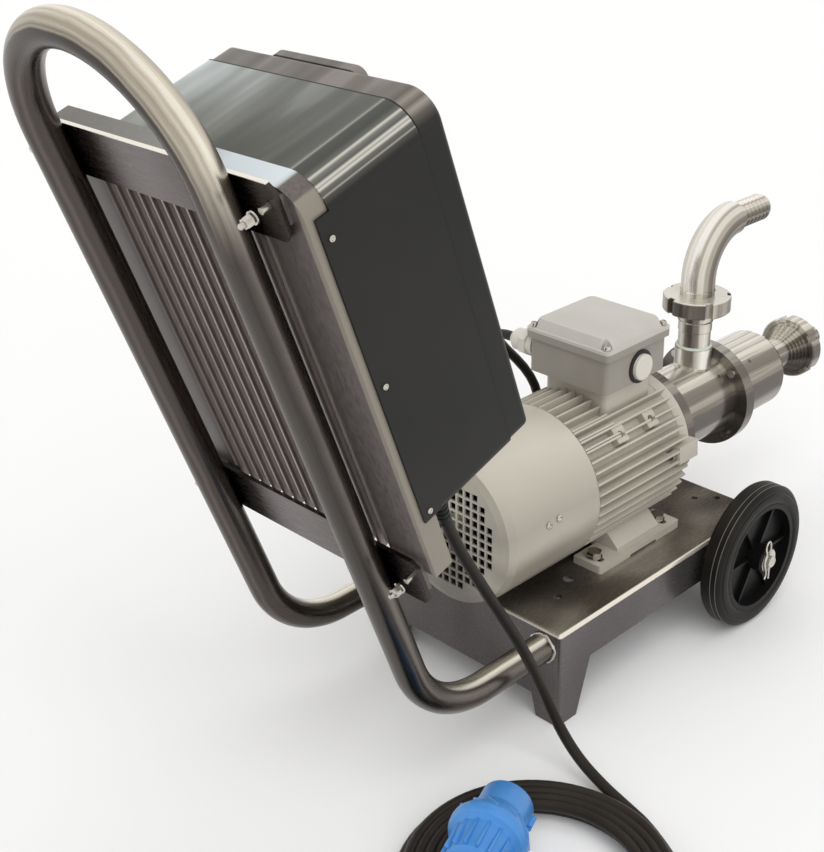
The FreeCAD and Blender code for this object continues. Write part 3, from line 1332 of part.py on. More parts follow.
def main():
    save("base_tray", make_tray())
    save("axle_mounts", make_axle_mounts())
    save("axle", make_axle())
    save("axle_washers", make_axle_washers())
    save("axle_clips", make_axle_clips())
    tyre = make_tyre()
    rim = make_rim()
    save("left_tyre", tyre)
    save("left_rim", rim)
    save("right_tyre", mirrored(tyre))
    save("right_rim", mirrored(rim))
    save("handle_tube", make_handle())
    save("upper_bracket", make_bracket(UPPER_BRACKET))
    save("lower_bracket", make_bracket(LOWER_BRACKET))
    save("bracket_bolts", make_bracket_bolts())
    save("bracket_nuts", make_bracket_nuts())
    save("inverter_heatsink", make_heatsink())
    save("inverter_cover", make_cover())
    save("inverter_front_cap", make_front_cap())
    save("keypad_panel", make_keypad())
    for name, place in KEYS.items():
        save(name, make_key(place))
    save("cover_screws", make_cover_screws())
    save("circuit_board", make_circuit_board())
    save("mains_gland", make_mains_gland())
    save("motor_cable_glands", make_motor_cable_glands())
    save("motor_cable", make_motor_cable())
    save("motor_frame", make_motor_frame())
    save("motor_feet", make_motor_feet())
    save("foot_bolts", make_foot_bolts())
    save("rear_shield", make_rear_shield())
    save("front_shield", make_front_shield())
    save("shield_bolts", make_shield_bolts())
    save("stator_core", make_stator_core())
    save("stator_winding", make_stator_winding())
    save("shaft_bearings", make_shaft_bearings())
    save("motor_shaft", make_motor_shaft())
    save("rotor_core", make_rotor_core())
    save("cooling_fan", make_cooling_fan())
    save("fan_cover", make_fan_cover())
    save("terminal_box", make_terminal_box())
    save("terminal_lid", make_terminal_lid())
    save("blanking_plug", make_blanking_plug())
    save("pump_casing", make_pump_casing())
    save("flange_screws", make_flange_screws())
    save("seal_seat", make_seal_seat())
    save("seal_ring", make_seal_ring())
    save("coupling_rod", make_coupling_rod())
    save("pump_rotor", make_pump_rotor())
    save("pump_stator", make_pump_stator())
    save("stator_housing", make_stator_housing())
    save("outlet_pipe", make_outlet_pipe())
    save("outlet_nut", make_outlet_nut())
    save("outlet_elbow", make_outlet_elbow())
    save("inlet_nut", make_inlet_nut())
    save("inlet_tail", make_inlet_tail())
    save("mains_cord", make_mains_cord())
    save("cord_coil", make_cord_coil())
    save("mains_plug", make_mains_plug())
    save("plug_pins", make_plug_pins())


main()
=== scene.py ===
# %% [markdown]
# # A progressive cavity pump on its trolley
# The metal frame of this machine comes ready made from CAD: tray, handle, motor,
# pump and inverter, each as a node that already rides on its body. In these cells
# the nodes get their finishes, and the pieces that a drawing leaves out are
# modelled: the brushed handle tube, tyres, screws, welds, plug and cables.

import bpy
import math
from mathutils import Matrix, Vector


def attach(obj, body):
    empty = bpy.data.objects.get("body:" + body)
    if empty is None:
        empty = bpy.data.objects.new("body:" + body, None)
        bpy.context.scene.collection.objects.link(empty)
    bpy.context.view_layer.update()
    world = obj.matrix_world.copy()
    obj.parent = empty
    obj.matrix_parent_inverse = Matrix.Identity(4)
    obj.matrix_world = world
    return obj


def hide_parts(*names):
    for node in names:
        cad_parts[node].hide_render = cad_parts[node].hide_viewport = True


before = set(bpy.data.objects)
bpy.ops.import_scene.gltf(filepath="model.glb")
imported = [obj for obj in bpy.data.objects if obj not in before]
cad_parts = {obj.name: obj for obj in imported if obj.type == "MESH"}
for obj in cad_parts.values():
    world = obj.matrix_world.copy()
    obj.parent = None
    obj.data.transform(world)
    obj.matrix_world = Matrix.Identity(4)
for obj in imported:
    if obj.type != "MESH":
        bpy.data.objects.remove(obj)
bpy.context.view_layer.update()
bpy.ops.object.select_all(action="DESELECT")

# %% [markdown]
# ## Two sets of coordinates
# The drawing counts stations along X in millimetres from the rear edge of the
# tray, and Blender works in metres from the middle of the machine. The inverter
# and its brackets lean back with the handle, so their places are easier to give
# as across, up along the handle, and out from it.

# %% Places in millimetres
MM = 0.001
CENTRE_STATION = 106.7
AXIS_HEIGHT = 179.0
HEEL_STATION = -146.1
TUBE_HEIGHT = 79.8
LEAN = math.radians(20.0)


def station(x, y, z):
    """A place on the drawing, in millimetres, as a point in metres."""
    return Vector(((x - CENTRE_STATION) * MM, y * MM, z * MM))


LEANING = Matrix.Translation(station(HEEL_STATION, 0, TUBE_HEIGHT)) @ Matrix.Rotation(-LEAN, 4, "Y")


def leaning(across, up, out):
    """A place on the leaning handle, in millimetres, as a point in metres."""
    return LEANING @ Vector((out * MM, across * MM, up * MM))


print("handle leans from", tuple(round(v, 3) for v in leaning(0, 0, 0)))

# %% [markdown]
# ## The camera
# The photograph was taken from behind and to the right of the machine, from above
# its handle, with a long lens. Its place was worked out from the tray's corners
# and the handle's tubes. The lens and the two shifts frame the picture as the
# photograph does.

# %% Camera
CAMERA_PLACE = Vector((-0.93617, -0.77707, 0.83030))
CAMERA_TURN = math.radians(-45.472)
CAMERA_DROP = math.radians(25.007)
CAMERA_ROLL = math.radians(-0.991)

forward = Vector((
    math.cos(CAMERA_TURN) * math.cos(CAMERA_DROP),
    -math.sin(CAMERA_TURN) * math.cos(CAMERA_DROP),
    -math.sin(CAMERA_DROP),
))
level = forward.cross(Vector((0, 0, 1))).normalized()
upright = level.cross(forward)
right = math.cos(CAMERA_ROLL) * level + math.sin(CAMERA_ROLL) * upright
above = -math.sin(CAMERA_ROLL) * level + math.cos(CAMERA_ROLL) * upright
bpy.ops.object.camera_add()
camera = bpy.context.object
camera_axes = Matrix((right, above, -forward)).transposed()
camera.matrix_world = Matrix.Translation(CAMERA_PLACE) @ camera_axes.to_4x4()
camera.data.sensor_fit = "HORIZONTAL"
camera.data.sensor_width = 36.0
camera.data.lens = 62.216
camera.data.shift_x = -0.0046
camera.data.shift_y = -0.0356
bpy.context.scene.camera = camera
bpy.context.scene.view_settings.view_transform = "Standard"
print("camera", round((CAMERA_PLACE - Vector((0, 0, 0.3))).length, 2), "m from the machine")

# %% [markdown]
# ## Selecting and shaping
# Operators act on whatever is selected, so each step first clears the selection
# and then picks faces or edges by their place. These helpers open a mesh for
# editing, select parts of it by a test, and close it again.

# %% Modelling helpers


def clear_selection():
    if bpy.context.object and bpy.context.object.mode != "OBJECT":
        bpy.ops.object.mode_set(mode="OBJECT")
    bpy.ops.object.select_all(action="DESELECT")


def pick(piece):
    clear_selection()
    piece.select_set(True)
    bpy.context.view_layer.objects.active = piece


def edit(piece, kind="VERT"):
    pick(piece)
    bpy.ops.object.mode_set(mode="EDIT")
    bpy.ops.mesh.select_mode(type=kind)
    bpy.ops.mesh.select_all(action="DESELECT")
    bpy.ops.object.mode_set(mode="OBJECT")


def choose_edges(piece, test):
    """Selects the edges whose two ends satisfy the test and goes on in edit mode."""
    edit(piece, "EDGE")
    points = piece.data.vertices
    for edge in piece.data.edges:
        edge.select = test(points[edge.vertices[0]].co, points[edge.vertices[1]].co)
    bpy.ops.object.mode_set(mode="EDIT")


def choose_faces(piece, test):
    """Selects the faces whose centre and normal satisfy the test and goes on in edit mode."""
    edit(piece, "FACE")
    for face in piece.data.polygons:
        face.select = test(face.center, face.normal)
    bpy.ops.object.mode_set(mode="EDIT")


def outwards(piece):
    """Merges doubles and turns every face outwards."""
    pick(piece)
    bpy.ops.object.mode_set(mode="EDIT")
    bpy.ops.mesh.select_all(action="SELECT")
    bpy.ops.mesh.remove_doubles(threshold=1e-6)
    bpy.ops.mesh.normals_make_consistent(inside=False)
    bpy.ops.object.mode_set(mode="OBJECT")


def place(piece, matrix):
    """Puts the matrix into the mesh, so that the object stays at the origin."""
    pick(piece)
    piece.matrix_world = matrix @ piece.matrix_world
    bpy.ops.object.transform_apply(location=True, rotation=True, scale=True)


def recess(piece, test, border, push):
    """Insets the faces that satisfy the test by a border and pushes them, both in millimetres."""
    choose_faces(piece, test)
    bpy.ops.mesh.inset(thickness=border * MM)
    bpy.ops.transform.translate(value=[step * MM for step in push])
    bpy.ops.object.mode_set(mode="OBJECT")


def roughen(piece, offset, seed):
    """Moves every point a little at random."""
    edit(piece)
    bpy.ops.object.mode_set(mode="EDIT")
    bpy.ops.mesh.select_all(action="SELECT")
    bpy.ops.transform.vertex_random(offset=offset * MM, seed=seed)
    bpy.ops.object.mode_set(mode="OBJECT")


def add_box(name, low, high, bevel=0.0):
    """A block between two corners in millimetres, with bevelled edges."""
    size = [b - a for a, b in zip(low, high)]
    middle = [(a + b) / 2 for a, b in zip(low, high)]
    bpy.ops.mesh.primitive_cube_add(size=1, location=[m * MM for m in middle])
    piece = bpy.context.object
    piece.name = name
    piece.scale = [s * MM for s in size]
    bpy.ops.object.transform_apply(location=True, rotation=True, scale=True)
    if bevel:
        choose_edges(piece, lambda a, b: True)
        bpy.ops.mesh.bevel(offset=bevel * MM, segments=2, affect="EDGES")
        bpy.ops.object.mode_set(mode="OBJECT")
    return piece


def add_turned(name, profile, sides=48, closed=False):
    """A circle pulled up its own axis, ring after ring, to the (along, radius) profile in millimetres."""
    along, radius = profile[0]
    bpy.ops.mesh.primitive_circle_add(vertices=sides, radius=radius * MM, location=(0, 0, 0))
    piece = bpy.context.object
    piece.name = name
    bpy.ops.object.mode_set(mode="EDIT")
    bpy.ops.mesh.select_mode(type="VERT")
    bpy.ops.mesh.select_all(action="SELECT")
    bpy.ops.transform.translate(value=(0, 0, along * MM))
    if not closed:
        bpy.ops.mesh.edge_face_add()
    rings = profile[1:] + (profile[:1] if closed else [])
    for next_along, next_radius in rings:
        bpy.ops.mesh.extrude_region_move(TRANSFORM_OT_translate={"value": (0, 0, (next_along - along) * MM)})
        ratio = next_radius / radius
        if abs(ratio - 1) > 1e-9:
            bpy.ops.transform.resize(value=(ratio, ratio, 1), center_override=(0, 0, next_along * MM))
        along, radius = next_along, next_radius
    bpy.ops.object.mode_set(mode="OBJECT")
    outwards(piece)
    return piece


def facing(origin, direction):
    """Matrix that carries +Z of a piece onto the direction, at the origin, both in metres."""
    turn = Vector(direction).to_track_quat("Z", "Y").to_matrix().to_4x4()
    return Matrix.Translation(origin) @ turn


def joined(parts, name):
    """Several objects as one."""
    clear_selection()
    for part in parts:
        part.select_set(True)
    bpy.context.view_layer.objects.active = parts[0]
    if len(parts) > 1:
        bpy.ops.object.join()
    whole = bpy.context.object
    whole.name = name
    return whole


def repeated(piece, matrices, name):
    """Copies of a piece, one for each matrix and each with its own mesh, joined into one object."""
    copies = []
    for matrix in matrices:
        pick(piece)
        bpy.ops.object.duplicate()
        copy = bpy.context.object
        place(copy, matrix)
        copies.append(copy)
    pick(piece)
    bpy.ops.object.delete()
    return joined(copies, name)


def fit(piece, body, material, stands_for=(), smooth=None):
    """Gives a finished piece its body and material, hides the nodes it stands for, and smooths edges under an
    angle in degrees.
    """
    if smooth:
        pick(piece)
        bpy.ops.object.shade_smooth_by_angle(angle=math.radians(smooth))
    piece.data.materials.clear()
    piece.data.materials.append(material)
    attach(piece, body)
    if stands_for:
        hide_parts(*stands_for)
    count = len(piece.data.polygons) if piece.type == "MESH" else 0
    print(piece.name, "on", body, count, "faces")


print("helpers ready for", len(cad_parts), "nodes")

# %% [markdown]
# ## Arithmetic in a material
# A finish is a small tree of nodes, and each sum or product in it takes one Math
# node. Two short classes keep such a tree readable. A Number is a node's output
# that can be added or multiplied like a Python number, and a Finish is one
# material with short names for the nodes that the recipes use.

# %% Numbers and finishes


class Number:
    """A node's output, with a Math node for each step of its arithmetic."""

    def __init__(self, finish, socket):
        self.finish = finish
        self.socket = socket

    def __add__(self, other):
        return self.finish.maths("ADD", self, other)

    def __sub__(self, other):
        return self.finish.maths("SUBTRACT", self, other)

    def __rsub__(self, other):
        return self.finish.maths("SUBTRACT", other, self)

    def __mul__(self, other):
        return self.finish.maths("MULTIPLY", self, other)

    def __truediv__(self, other):
        return self.finish.maths("DIVIDE", self, other)

    def __abs__(self):
        return self.finish.maths("ABSOLUTE", self)


WHITE = (1.0, 1.0, 1.0)


class Finish:
    """One material and the nodes that colour it."""

    def __init__(self, name):
        self.material = bpy.data.materials.new(name)
        self.material.use_nodes = True
        self.tree = self.material.node_tree
        self.shader = self.tree.nodes["Principled BSDF"]

    def node(self, kind, **settings):
        made = self.tree.nodes.new(kind)
        for name, value in settings.items():
            setattr(made, name, value)
        return made

    def feed(self, socket, value):
        """Links a Number to a socket, or sets the socket to a plain value or colour."""
        if isinstance(value, Number):
            self.tree.links.new(value.socket, socket)
        else:
            socket.default_value = (*value, 1) if socket.type == "RGBA" else value

    def maths(self, operation, *values):
        node = self.node("ShaderNodeMath", operation=operation)
        for socket, value in zip(node.inputs, values):
            self.feed(socket, value)
        return Number(self, node.outputs[0])

    def object_point(self, **mapping):
        """Object coordinates through a Mapping node with the given inputs."""
        kind = mapping.pop("kind", "POINT")
        node = self.node("ShaderNodeMapping", vector_type=kind)
        for name, value in mapping.items():
            self.feed(node.inputs[name], value)
        source = self.node("ShaderNodeTexCoord").outputs["Object"]
        self.feed(node.inputs["Vector"], Number(self, source))
        return Number(self, node.outputs[0])

    def parts(self, vector):
        node = self.node("ShaderNodeSeparateXYZ")
        self.feed(node.inputs[0], vector)
        return [Number(self, output) for output in node.outputs]

    def measured_from(self, origin, turn=(0, 0, 0)):
        """The three Object coordinates of a point, counted from a place and along turned axes."""
        return self.parts(self.object_point(kind="TEXTURE", Location=origin, Rotation=turn))

    def noise(self, scale, stretch=(1, 1, 1), detail=5.0, turn=(0, 0, 0), point=None):
        """Noise over the piece, drawn out along the axes with a small stretch."""
        node = self.node("ShaderNodeTexNoise")
        node.inputs["Scale"].default_value = scale
        node.inputs["Detail"].default_value = detail
        self.feed(node.inputs["Vector"], point or self.object_point(Scale=stretch, Rotation=turn))
        return Number(self, node.outputs[0])

    def mapped(self, value, low, high, to_low, to_high, kind="LINEAR"):
        node = self.node("ShaderNodeMapRange", interpolation_type=kind)
        names = ("Value", "From Min", "From Max", "To Min", "To Max")
        for name, number in zip(names, (value, low, high, to_low, to_high)):
            self.feed(node.inputs[name], number)
        return Number(self, node.outputs[0])

    def rise(self, value, low, high):
        """0 below low, 1 above high, and a smooth rise between them."""
        return self.mapped(value, low, high, 0.0, 1.0, "SMOOTHSTEP")

    def within(self, value, low, high, edge):
        """1 between low and high, 0 outside, with edges of the given width."""
        return self.rise(value, low, low + edge) * (1.0 - self.rise(value, high, high + edge))

    def ramp(self, value, stops):
        """Colours along a value, as (position, colour) stops."""
        node = self.node("ShaderNodeValToRGB")
        elements = node.color_ramp.elements
        while len(elements) < len(stops):
            elements.new(0.5)
        for element, (position, colour) in zip(elements, stops):
            element.position = position
            element.color = (*colour, 1)
        self.feed(node.inputs[0], value)
        return Number(self, node.outputs[0])

    def blended(self, share, first, second, kind="MIX"):
        """A colour between two colours."""
        node = self.node("ShaderNodeMix", data_type="RGBA", blend_type=kind)
        for index, value in ((0, share), (6, first), (7, second)):
            self.feed(node.inputs[index], value)
        return Number(self, node.outputs[2])

    def times(self, colour, tint):
        return self.blended(1.0, colour, tint, "MULTIPLY")

    def around(self, across, up):
        """The angle around an axis, from 0 to 1."""
        return self.maths("ARCTAN2", across, up) / (2 * math.pi) + 0.5

    def distance(self, across, up):
        return self.maths("SQRT", across * across + up * up)

    def covered(self, colour, grain, rough, strength, metallic=0.0, height=0.0002, cloud=None):
        """Feeds the shader: colour, a roughness that varies, and a slight relief from the grain."""
        low, high = rough
        bump = self.node("ShaderNodeBump")
        bump.inputs["Strength"].default_value = strength
        bump.inputs["Distance"].default_value = height
        self.feed(bump.inputs["Height"], grain)
        self.feed(self.shader.inputs["Base Color"], colour)
        self.feed(self.shader.inputs["Roughness"], self.mapped(cloud or grain, 0.3, 0.7, low, high))
        self.feed(self.shader.inputs["Normal"], Number(self, bump.outputs[0]))
        self.shader.inputs["Metallic"].default_value = metallic
        return self.material


print("finishes can be made")

# %% [markdown]
# ## Plain steels
# A real surface is never one flat colour. A fine noise on Object coordinates, which
# stay with the piece when it moves, shifts the colour and lifts the surface a
# little, and a coarse one makes the roughness cloudy. Stretching the fine noise
# along one axis turns it into the grain of drawn or turned steel.

# %% Plain steels


def steel(name, dark, light, rough, grain_scale, stretch, strength=0.06):
    """Metal whose grain runs along the axis with the smallest stretch."""
    finish = Finish(name)
    grain = finish.noise(grain_scale, stretch, 6.0)
    colour = finish.ramp(grain, [(0.3, dark), (0.7, light)])
    return finish.covered(colour, grain, rough, strength, 1.0, cloud=finish.noise(9.0, detail=2.0))


bright_steel = steel("bright_steel", (0.42, 0.40, 0.36), (0.66, 0.63, 0.58), (0.18, 0.30), 90.0, (2, 2, 2))
axle_steel = steel("axle_steel", (0.50, 0.48, 0.44), (0.70, 0.67, 0.62), (0.18, 0.28), 90.0, (2, 2, 2))
core_steel = steel("core_steel", (0.22, 0.22, 0.22), (0.42, 0.42, 0.42), (0.35, 0.5), 300, (8, 0.2, 0.2), 0.3)
brass = steel("brass", (0.62, 0.45, 0.18), (0.80, 0.62, 0.30), (0.20, 0.32), 80.0, (2, 2, 2))
copper = steel("copper_winding", (0.42, 0.14, 0.05), (0.75, 0.32, 0.16), (0.28, 0.42), 220.0, (1, 6, 6), 0.5)
print("plain steels made")

# %% [markdown]
# ## Painted reflection stripes of a polish
# A polished cylinder shows long stripes of reflected light and dark that lie along it,
# and these are painted into the colour as painted reflections. The angle around the
# axis comes from two coordinates through an arctangent, and a ColorRamp over that
# angle holds the painted stripes. A noise drawn out along the axis makes their edges
# waver.

# %% Polish
POLISH = 0.65
# Colour of the painted shade on the pump's flange.
SHADED_STEEL = (0.085, 0.075, 0.066)


def streaks(finish, around, along, tightness, stretch):
    """Noise drawn out along a polished surface: around is 0 to 1, along is in metres."""
    node = finish.node("ShaderNodeCombineXYZ")
    finish.feed(node.inputs[0], around * tightness)
    finish.feed(node.inputs[1], along * stretch)
    return finish.noise(1.0, detail=4.0, point=Number(finish, node.outputs[0]))


def reflection_stripes(finish, around, along, stops, tightness=60.0, stretch=6.0):
    """Painted reflection stripes as colour, and the grain of the polish."""
    grain = streaks(finish, around, along, tightness, stretch)
    # The ramp over the angle paints the reflections into the colour.
    colour = finish.ramp(around + (grain - 0.5) * 0.07, stops)
    return finish.times(colour, finish.ramp(grain, [(0.3, (0.80, 0.79, 0.78)), (0.7, WHITE)])), grain


print("polish is", POLISH, "metallic")

# %% [markdown]
# ## The pump's steel
# The pump and its chamber are turned about one axis, so their painted reflection
# stripes run along X. A flange faces another way, so a painted shade darkens it.
# The outlet boss stands upright on the chamber, so inside its own radius its painted
# reflection stripes turn about the boss's axis.

# %% Pump steel
# Painted reflection stripes, by the angle around the pump's axis.
PUMP_REFLECTIONS = [
    (0.38, (0.48, 0.44, 0.37)), (0.42, (0.86, 0.83, 0.75)), (0.455, (0.60, 0.56, 0.48)),
    (0.475, (0.90, 0.87, 0.80)), (0.495, (0.42, 0.38, 0.32)), (0.510, (0.88, 0.85, 0.77)),
    (0.53, (0.50, 0.46, 0.39)), (0.545, (0.90, 0.87, 0.80)), (0.56, (0.36, 0.32, 0.275)),
    (0.575, (0.84, 0.80, 0.71)), (0.60, (0.66, 0.62, 0.54)), (0.615, (0.26, 0.23, 0.195)),
    (0.65, (0.20, 0.178, 0.152)), (0.685, (0.44, 0.40, 0.345)), (0.71, (0.16, 0.14, 0.122)),
    (0.77, (0.11, 0.097, 0.085)), (0.80, (0.34, 0.31, 0.265)), (0.84, (0.18, 0.16, 0.14)),
    (0.88, (0.30, 0.27, 0.235)),
]
# Painted reflection stripes around the outlet boss.
BOSS_REFLECTIONS = [
    (0.0, (0.16, 0.14, 0.12)), (0.27, (0.14, 0.122, 0.105)), (0.33, (0.26, 0.235, 0.20)),
    (0.385, (0.86, 0.83, 0.75)), (0.43, (0.40, 0.36, 0.31)), (0.48, (0.30, 0.27, 0.23)),
    (0.53, (0.52, 0.48, 0.41)), (0.58, (0.90, 0.87, 0.80)), (0.64, (0.80, 0.77, 0.69)),
    (0.68, (0.30, 0.27, 0.23)), (0.73, (0.14, 0.122, 0.107)), (1.0, (0.16, 0.14, 0.12)),
]
BOSS_PLACE = station(346, 0, 0)
STRIPES_START = math.radians(213.5)
BOSS_EDGE = (0.0215, 0.0225)
FLANGE_EDGE = (0.0450, 0.0465)


def painted_reflections_along_x(name, stops, rough, flange=None):
    finish = Finish(name)
    x, y, z = finish.measured_from((0, 0, AXIS_HEIGHT * MM))
    colour, grain = reflection_stripes(finish, finish.around(y * -1.0, z), x, stops)
    if flange:
        far = finish.rise(finish.distance(y, z), *flange)
        bx, by = finish.measured_from(BOSS_PLACE, (0, 0, STRIPES_START))[:2]
        beside = finish.rise(finish.distance(bx, by), *BOSS_EDGE)
        boss = far * (1.0 - beside) * finish.rise(z, 0.0, 0.01)
        # Painted shade on the flange, which faces another way.
        colour = finish.blended(far * beside * 0.55, colour, SHADED_STEEL)
        # Painted reflection stripes on the boss, about its own axis.
        colour = finish.blended(boss, colour, finish.ramp(finish.around(by, bx), BOSS_REFLECTIONS))
    return finish.covered(colour, grain, rough, 0.05, POLISH)


pump_steel = painted_reflections_along_x("pump_steel", PUMP_REFLECTIONS, (0.16, 0.26), FLANGE_EDGE)
shaft_steel = painted_reflections_along_x("shaft_steel", PUMP_REFLECTIONS, (0.20, 0.30))
print("pump steel with", len(PUMP_REFLECTIONS), "stripes")

# %% [markdown]
# ## The outlet's steel
# The outlet pipe stands upright, so its painted reflection stripes run up it. Its
# slotted nut has darker painted reflection stripes and a plain painted highlight on
# its upper face.

# %% Outlet steel
# Painted reflection stripes up the pipe and around the nut.
PIPE_REFLECTIONS = [
    (0.0, (0.16, 0.14, 0.12)), (0.25, (0.14, 0.122, 0.105)), (0.30, (0.36, 0.33, 0.28)),
    (0.35, (0.80, 0.77, 0.69)), (0.40, (0.36, 0.33, 0.28)), (0.45, (0.18, 0.16, 0.137)),
    (0.49, (0.28, 0.25, 0.215)), (0.52, (0.17, 0.15, 0.13)), (0.56, (0.66, 0.62, 0.54)),
    (0.60, (0.88, 0.85, 0.78)), (0.65, (0.70, 0.66, 0.58)), (0.68, (0.26, 0.23, 0.20)),
    (0.73, (0.12, 0.105, 0.093)), (1.0, (0.16, 0.14, 0.12)),
]
NUT_REFLECTIONS = [
    (0.0, (0.14, 0.122, 0.107)), (0.25, (0.12, 0.105, 0.093)), (0.31, (0.42, 0.38, 0.325)),
    (0.35, (0.16, 0.14, 0.122)), (0.42, (0.10, 0.088, 0.078)), (0.47, (0.32, 0.29, 0.245)),
    (0.50, (0.14, 0.122, 0.107)), (0.54, (0.11, 0.097, 0.085)), (0.585, (0.60, 0.56, 0.48)),
    (0.61, (0.30, 0.27, 0.23)), (0.65, (0.46, 0.42, 0.36)), (0.68, (0.18, 0.16, 0.137)),
    (0.73, (0.10, 0.088, 0.078)), (1.0, (0.14, 0.122, 0.107)),
]
NUT_TOP = 0.2985


def painted_reflections_upright(name, stops):
    finish = Finish(name)
    x, y, z = finish.measured_from(BOSS_PLACE, (0, 0, STRIPES_START))
    colour, grain = reflection_stripes(finish, finish.around(y, x), z, stops, 40.0, 8.0)
    # Painted highlight on the nut's flat upper face, between these heights.
    lit_top_face = finish.rise(z, NUT_TOP, NUT_TOP + 0.001) * (1.0 - finish.rise(z, 0.3005, 0.3010))
    colour = finish.blended(lit_top_face, colour, (0.70, 0.67, 0.60))
    return finish.covered(colour, grain, (0.20, 0.30), 0.05, POLISH)


pipe_steel = painted_reflections_upright("pipe_steel", PIPE_REFLECTIONS)
nut_steel = painted_reflections_upright("nut_steel", NUT_REFLECTIONS)
print("outlet steel made")

# %% [markdown]
# ## The elbow's steel
# The outlet pipe turns through a right angle. Its painted reflection stripes follow
# the bend, because the angle is taken around the pipe's own curved axis: an arc about
# the centre of the bend, with a straight run before and after it.

# %% Elbow steel
BEND_REFLECTIONS = [
    (0.0, (0.16, 0.14, 0.12)), (0.30, (0.22, 0.195, 0.17)), (0.42, (0.70, 0.66, 0.58)),
    (0.50, (0.90, 0.87, 0.81)), (0.555, (0.90, 0.87, 0.81)), (0.575, (0.44, 0.40, 0.345)),
    (0.60, (0.72, 0.68, 0.60)), (0.635, (0.80, 0.77, 0.69)), (0.655, (0.44, 0.40, 0.34)),
    (0.675, (0.52, 0.48, 0.41)), (0.70, (0.24, 0.215, 0.185)), (0.745, (0.15, 0.132, 0.115)),
    (0.775, (0.34, 0.31, 0.265)), (0.80, (0.12, 0.105, 0.093)), (1.0, (0.16, 0.14, 0.12)),
]
BEND_CENTRE = station(400, 0, 314.7)
BEND_RADIUS = 0.054

finish = Finish("elbow_steel")
x, y, z = finish.measured_from(BEND_CENTRE)
behind = finish.maths("MINIMUM", x, 0.0)
higher = finish.maths("MAXIMUM", z, 0.0)
outward = finish.distance(behind, higher) - BEND_RADIUS
# Painted reflection stripes around the bent pipe.
colour, grain = reflection_stripes(finish, finish.around(y * -1.0, outward), x - z, BEND_REFLECTIONS, 40.0, 8.0)
elbow_steel = finish.covered(colour, grain, (0.20, 0.30), 0.05, POLISH)
print("elbow steel made")

# %% [markdown]
# ## Tray steel
# The tray is one folded sheet. Its top is glossier and browner than its sides, and its
# colour there also holds painted reflections of bright patches. The bends along its
# edges carry one thin painted highlight line.

# %% Tray steel
TRAY_TOP_BROWN_AND_REFLECTIONS = [
    (0.34, (0.075, 0.064, 0.050)), (0.48, (0.12, 0.104, 0.082)), (0.57, (0.21, 0.188, 0.152)),
    (0.67, (0.38, 0.35, 0.295)),
]
TRAY_SIDE_COLOURS = [(0.30, (0.085, 0.075, 0.074)), (0.70, (0.14, 0.128, 0.126))]

finish = Finish("tray_steel")
x, y, z = finish.measured_from(station(0, 0, 99))
grain = finish.noise(300.0, (0.3, 3, 3), 3.0)
cloud = finish.noise(9.0, (1, 1.6, 1), 1.0)
# The top's ramp holds its brown and painted reflections of bright patches.
lit_top_face = finish.rise(z, -0.0012, -0.0004)
side, top = finish.ramp(cloud, TRAY_SIDE_COLOURS), finish.ramp(cloud, TRAY_TOP_BROWN_AND_REFLECTIONS)
colour = finish.blended(lit_top_face, side, top)
# Painted highlight along the bent side and rear edges.
side_bend_highlight = finish.rise(abs(y), 0.1083, 0.1092) * finish.rise(z, -0.0036, -0.0028)
rear_bend_highlight = finish.rise(x * -1.0, -0.0022, -0.0014) * finish.rise(z, -0.0030, -0.0022)
colour = finish.blended(finish.maths("MAXIMUM", side_bend_highlight, rear_bend_highlight * 0.6), colour, (0.80, 0.75, 0.65))
tray_steel = finish.covered(colour, grain, (0.20, 0.30), 0.01, 0.6, 0.0001)
print("tray steel made")

# %% [markdown]
# ## Handle tube steel
# The tube is polished along its length, and its reflections are painted into the
# colour as stripes. Its mesh is swept later from a curve, so its UV map runs along it
# in U and around it in V, and the painted reflection stripes follow V through every
# bend. The crown, the legs and the low run behind the tray each face other things, so
# each has its own painted reflection stripes.

# %% Handle tube steel
LEG_REFLECTIONS = [
    (0.0, (0.135, 0.118, 0.107)), (0.04, (0.10, 0.088, 0.079)), (0.09, (0.065, 0.057, 0.052)),
    (0.30, (0.065, 0.057, 0.052)), (0.38, (0.115, 0.100, 0.091)), (0.45, (0.145, 0.125, 0.114)),
    (0.50, (0.105, 0.091, 0.083)), (0.57, (0.090, 0.078, 0.070)), (0.605, (0.15, 0.128, 0.117)),
    (0.65, (0.088, 0.075, 0.069)), (0.70, (0.12, 0.105, 0.098)), (0.76, (0.11, 0.101, 0.094)),
    (0.82, (0.095, 0.086, 0.080)), (0.87, (0.075, 0.067, 0.061)), (0.92, (0.12, 0.105, 0.096)),
    (0.965, (0.19, 0.168, 0.150)),
]
CROWN_REFLECTIONS = [
    (0.0, (0.84, 0.78, 0.67)), (0.05, (0.66, 0.60, 0.50)), (0.12, (0.32, 0.285, 0.24)),
    (0.20, (0.13, 0.115, 0.10)), (0.33, (0.10, 0.088, 0.079)), (0.52, (0.085, 0.075, 0.068)),
    (0.70, (0.075, 0.067, 0.060)), (0.765, (0.085, 0.075, 0.068)), (0.785, (0.40, 0.36, 0.30)),
    (0.80, (0.26, 0.23, 0.195)), (0.83, (0.52, 0.47, 0.39)), (0.87, (0.40, 0.355, 0.295)),
    (0.91, (0.70, 0.64, 0.54)), (0.935, (0.56, 0.50, 0.42)), (0.97, (0.92, 0.87, 0.76)),
]
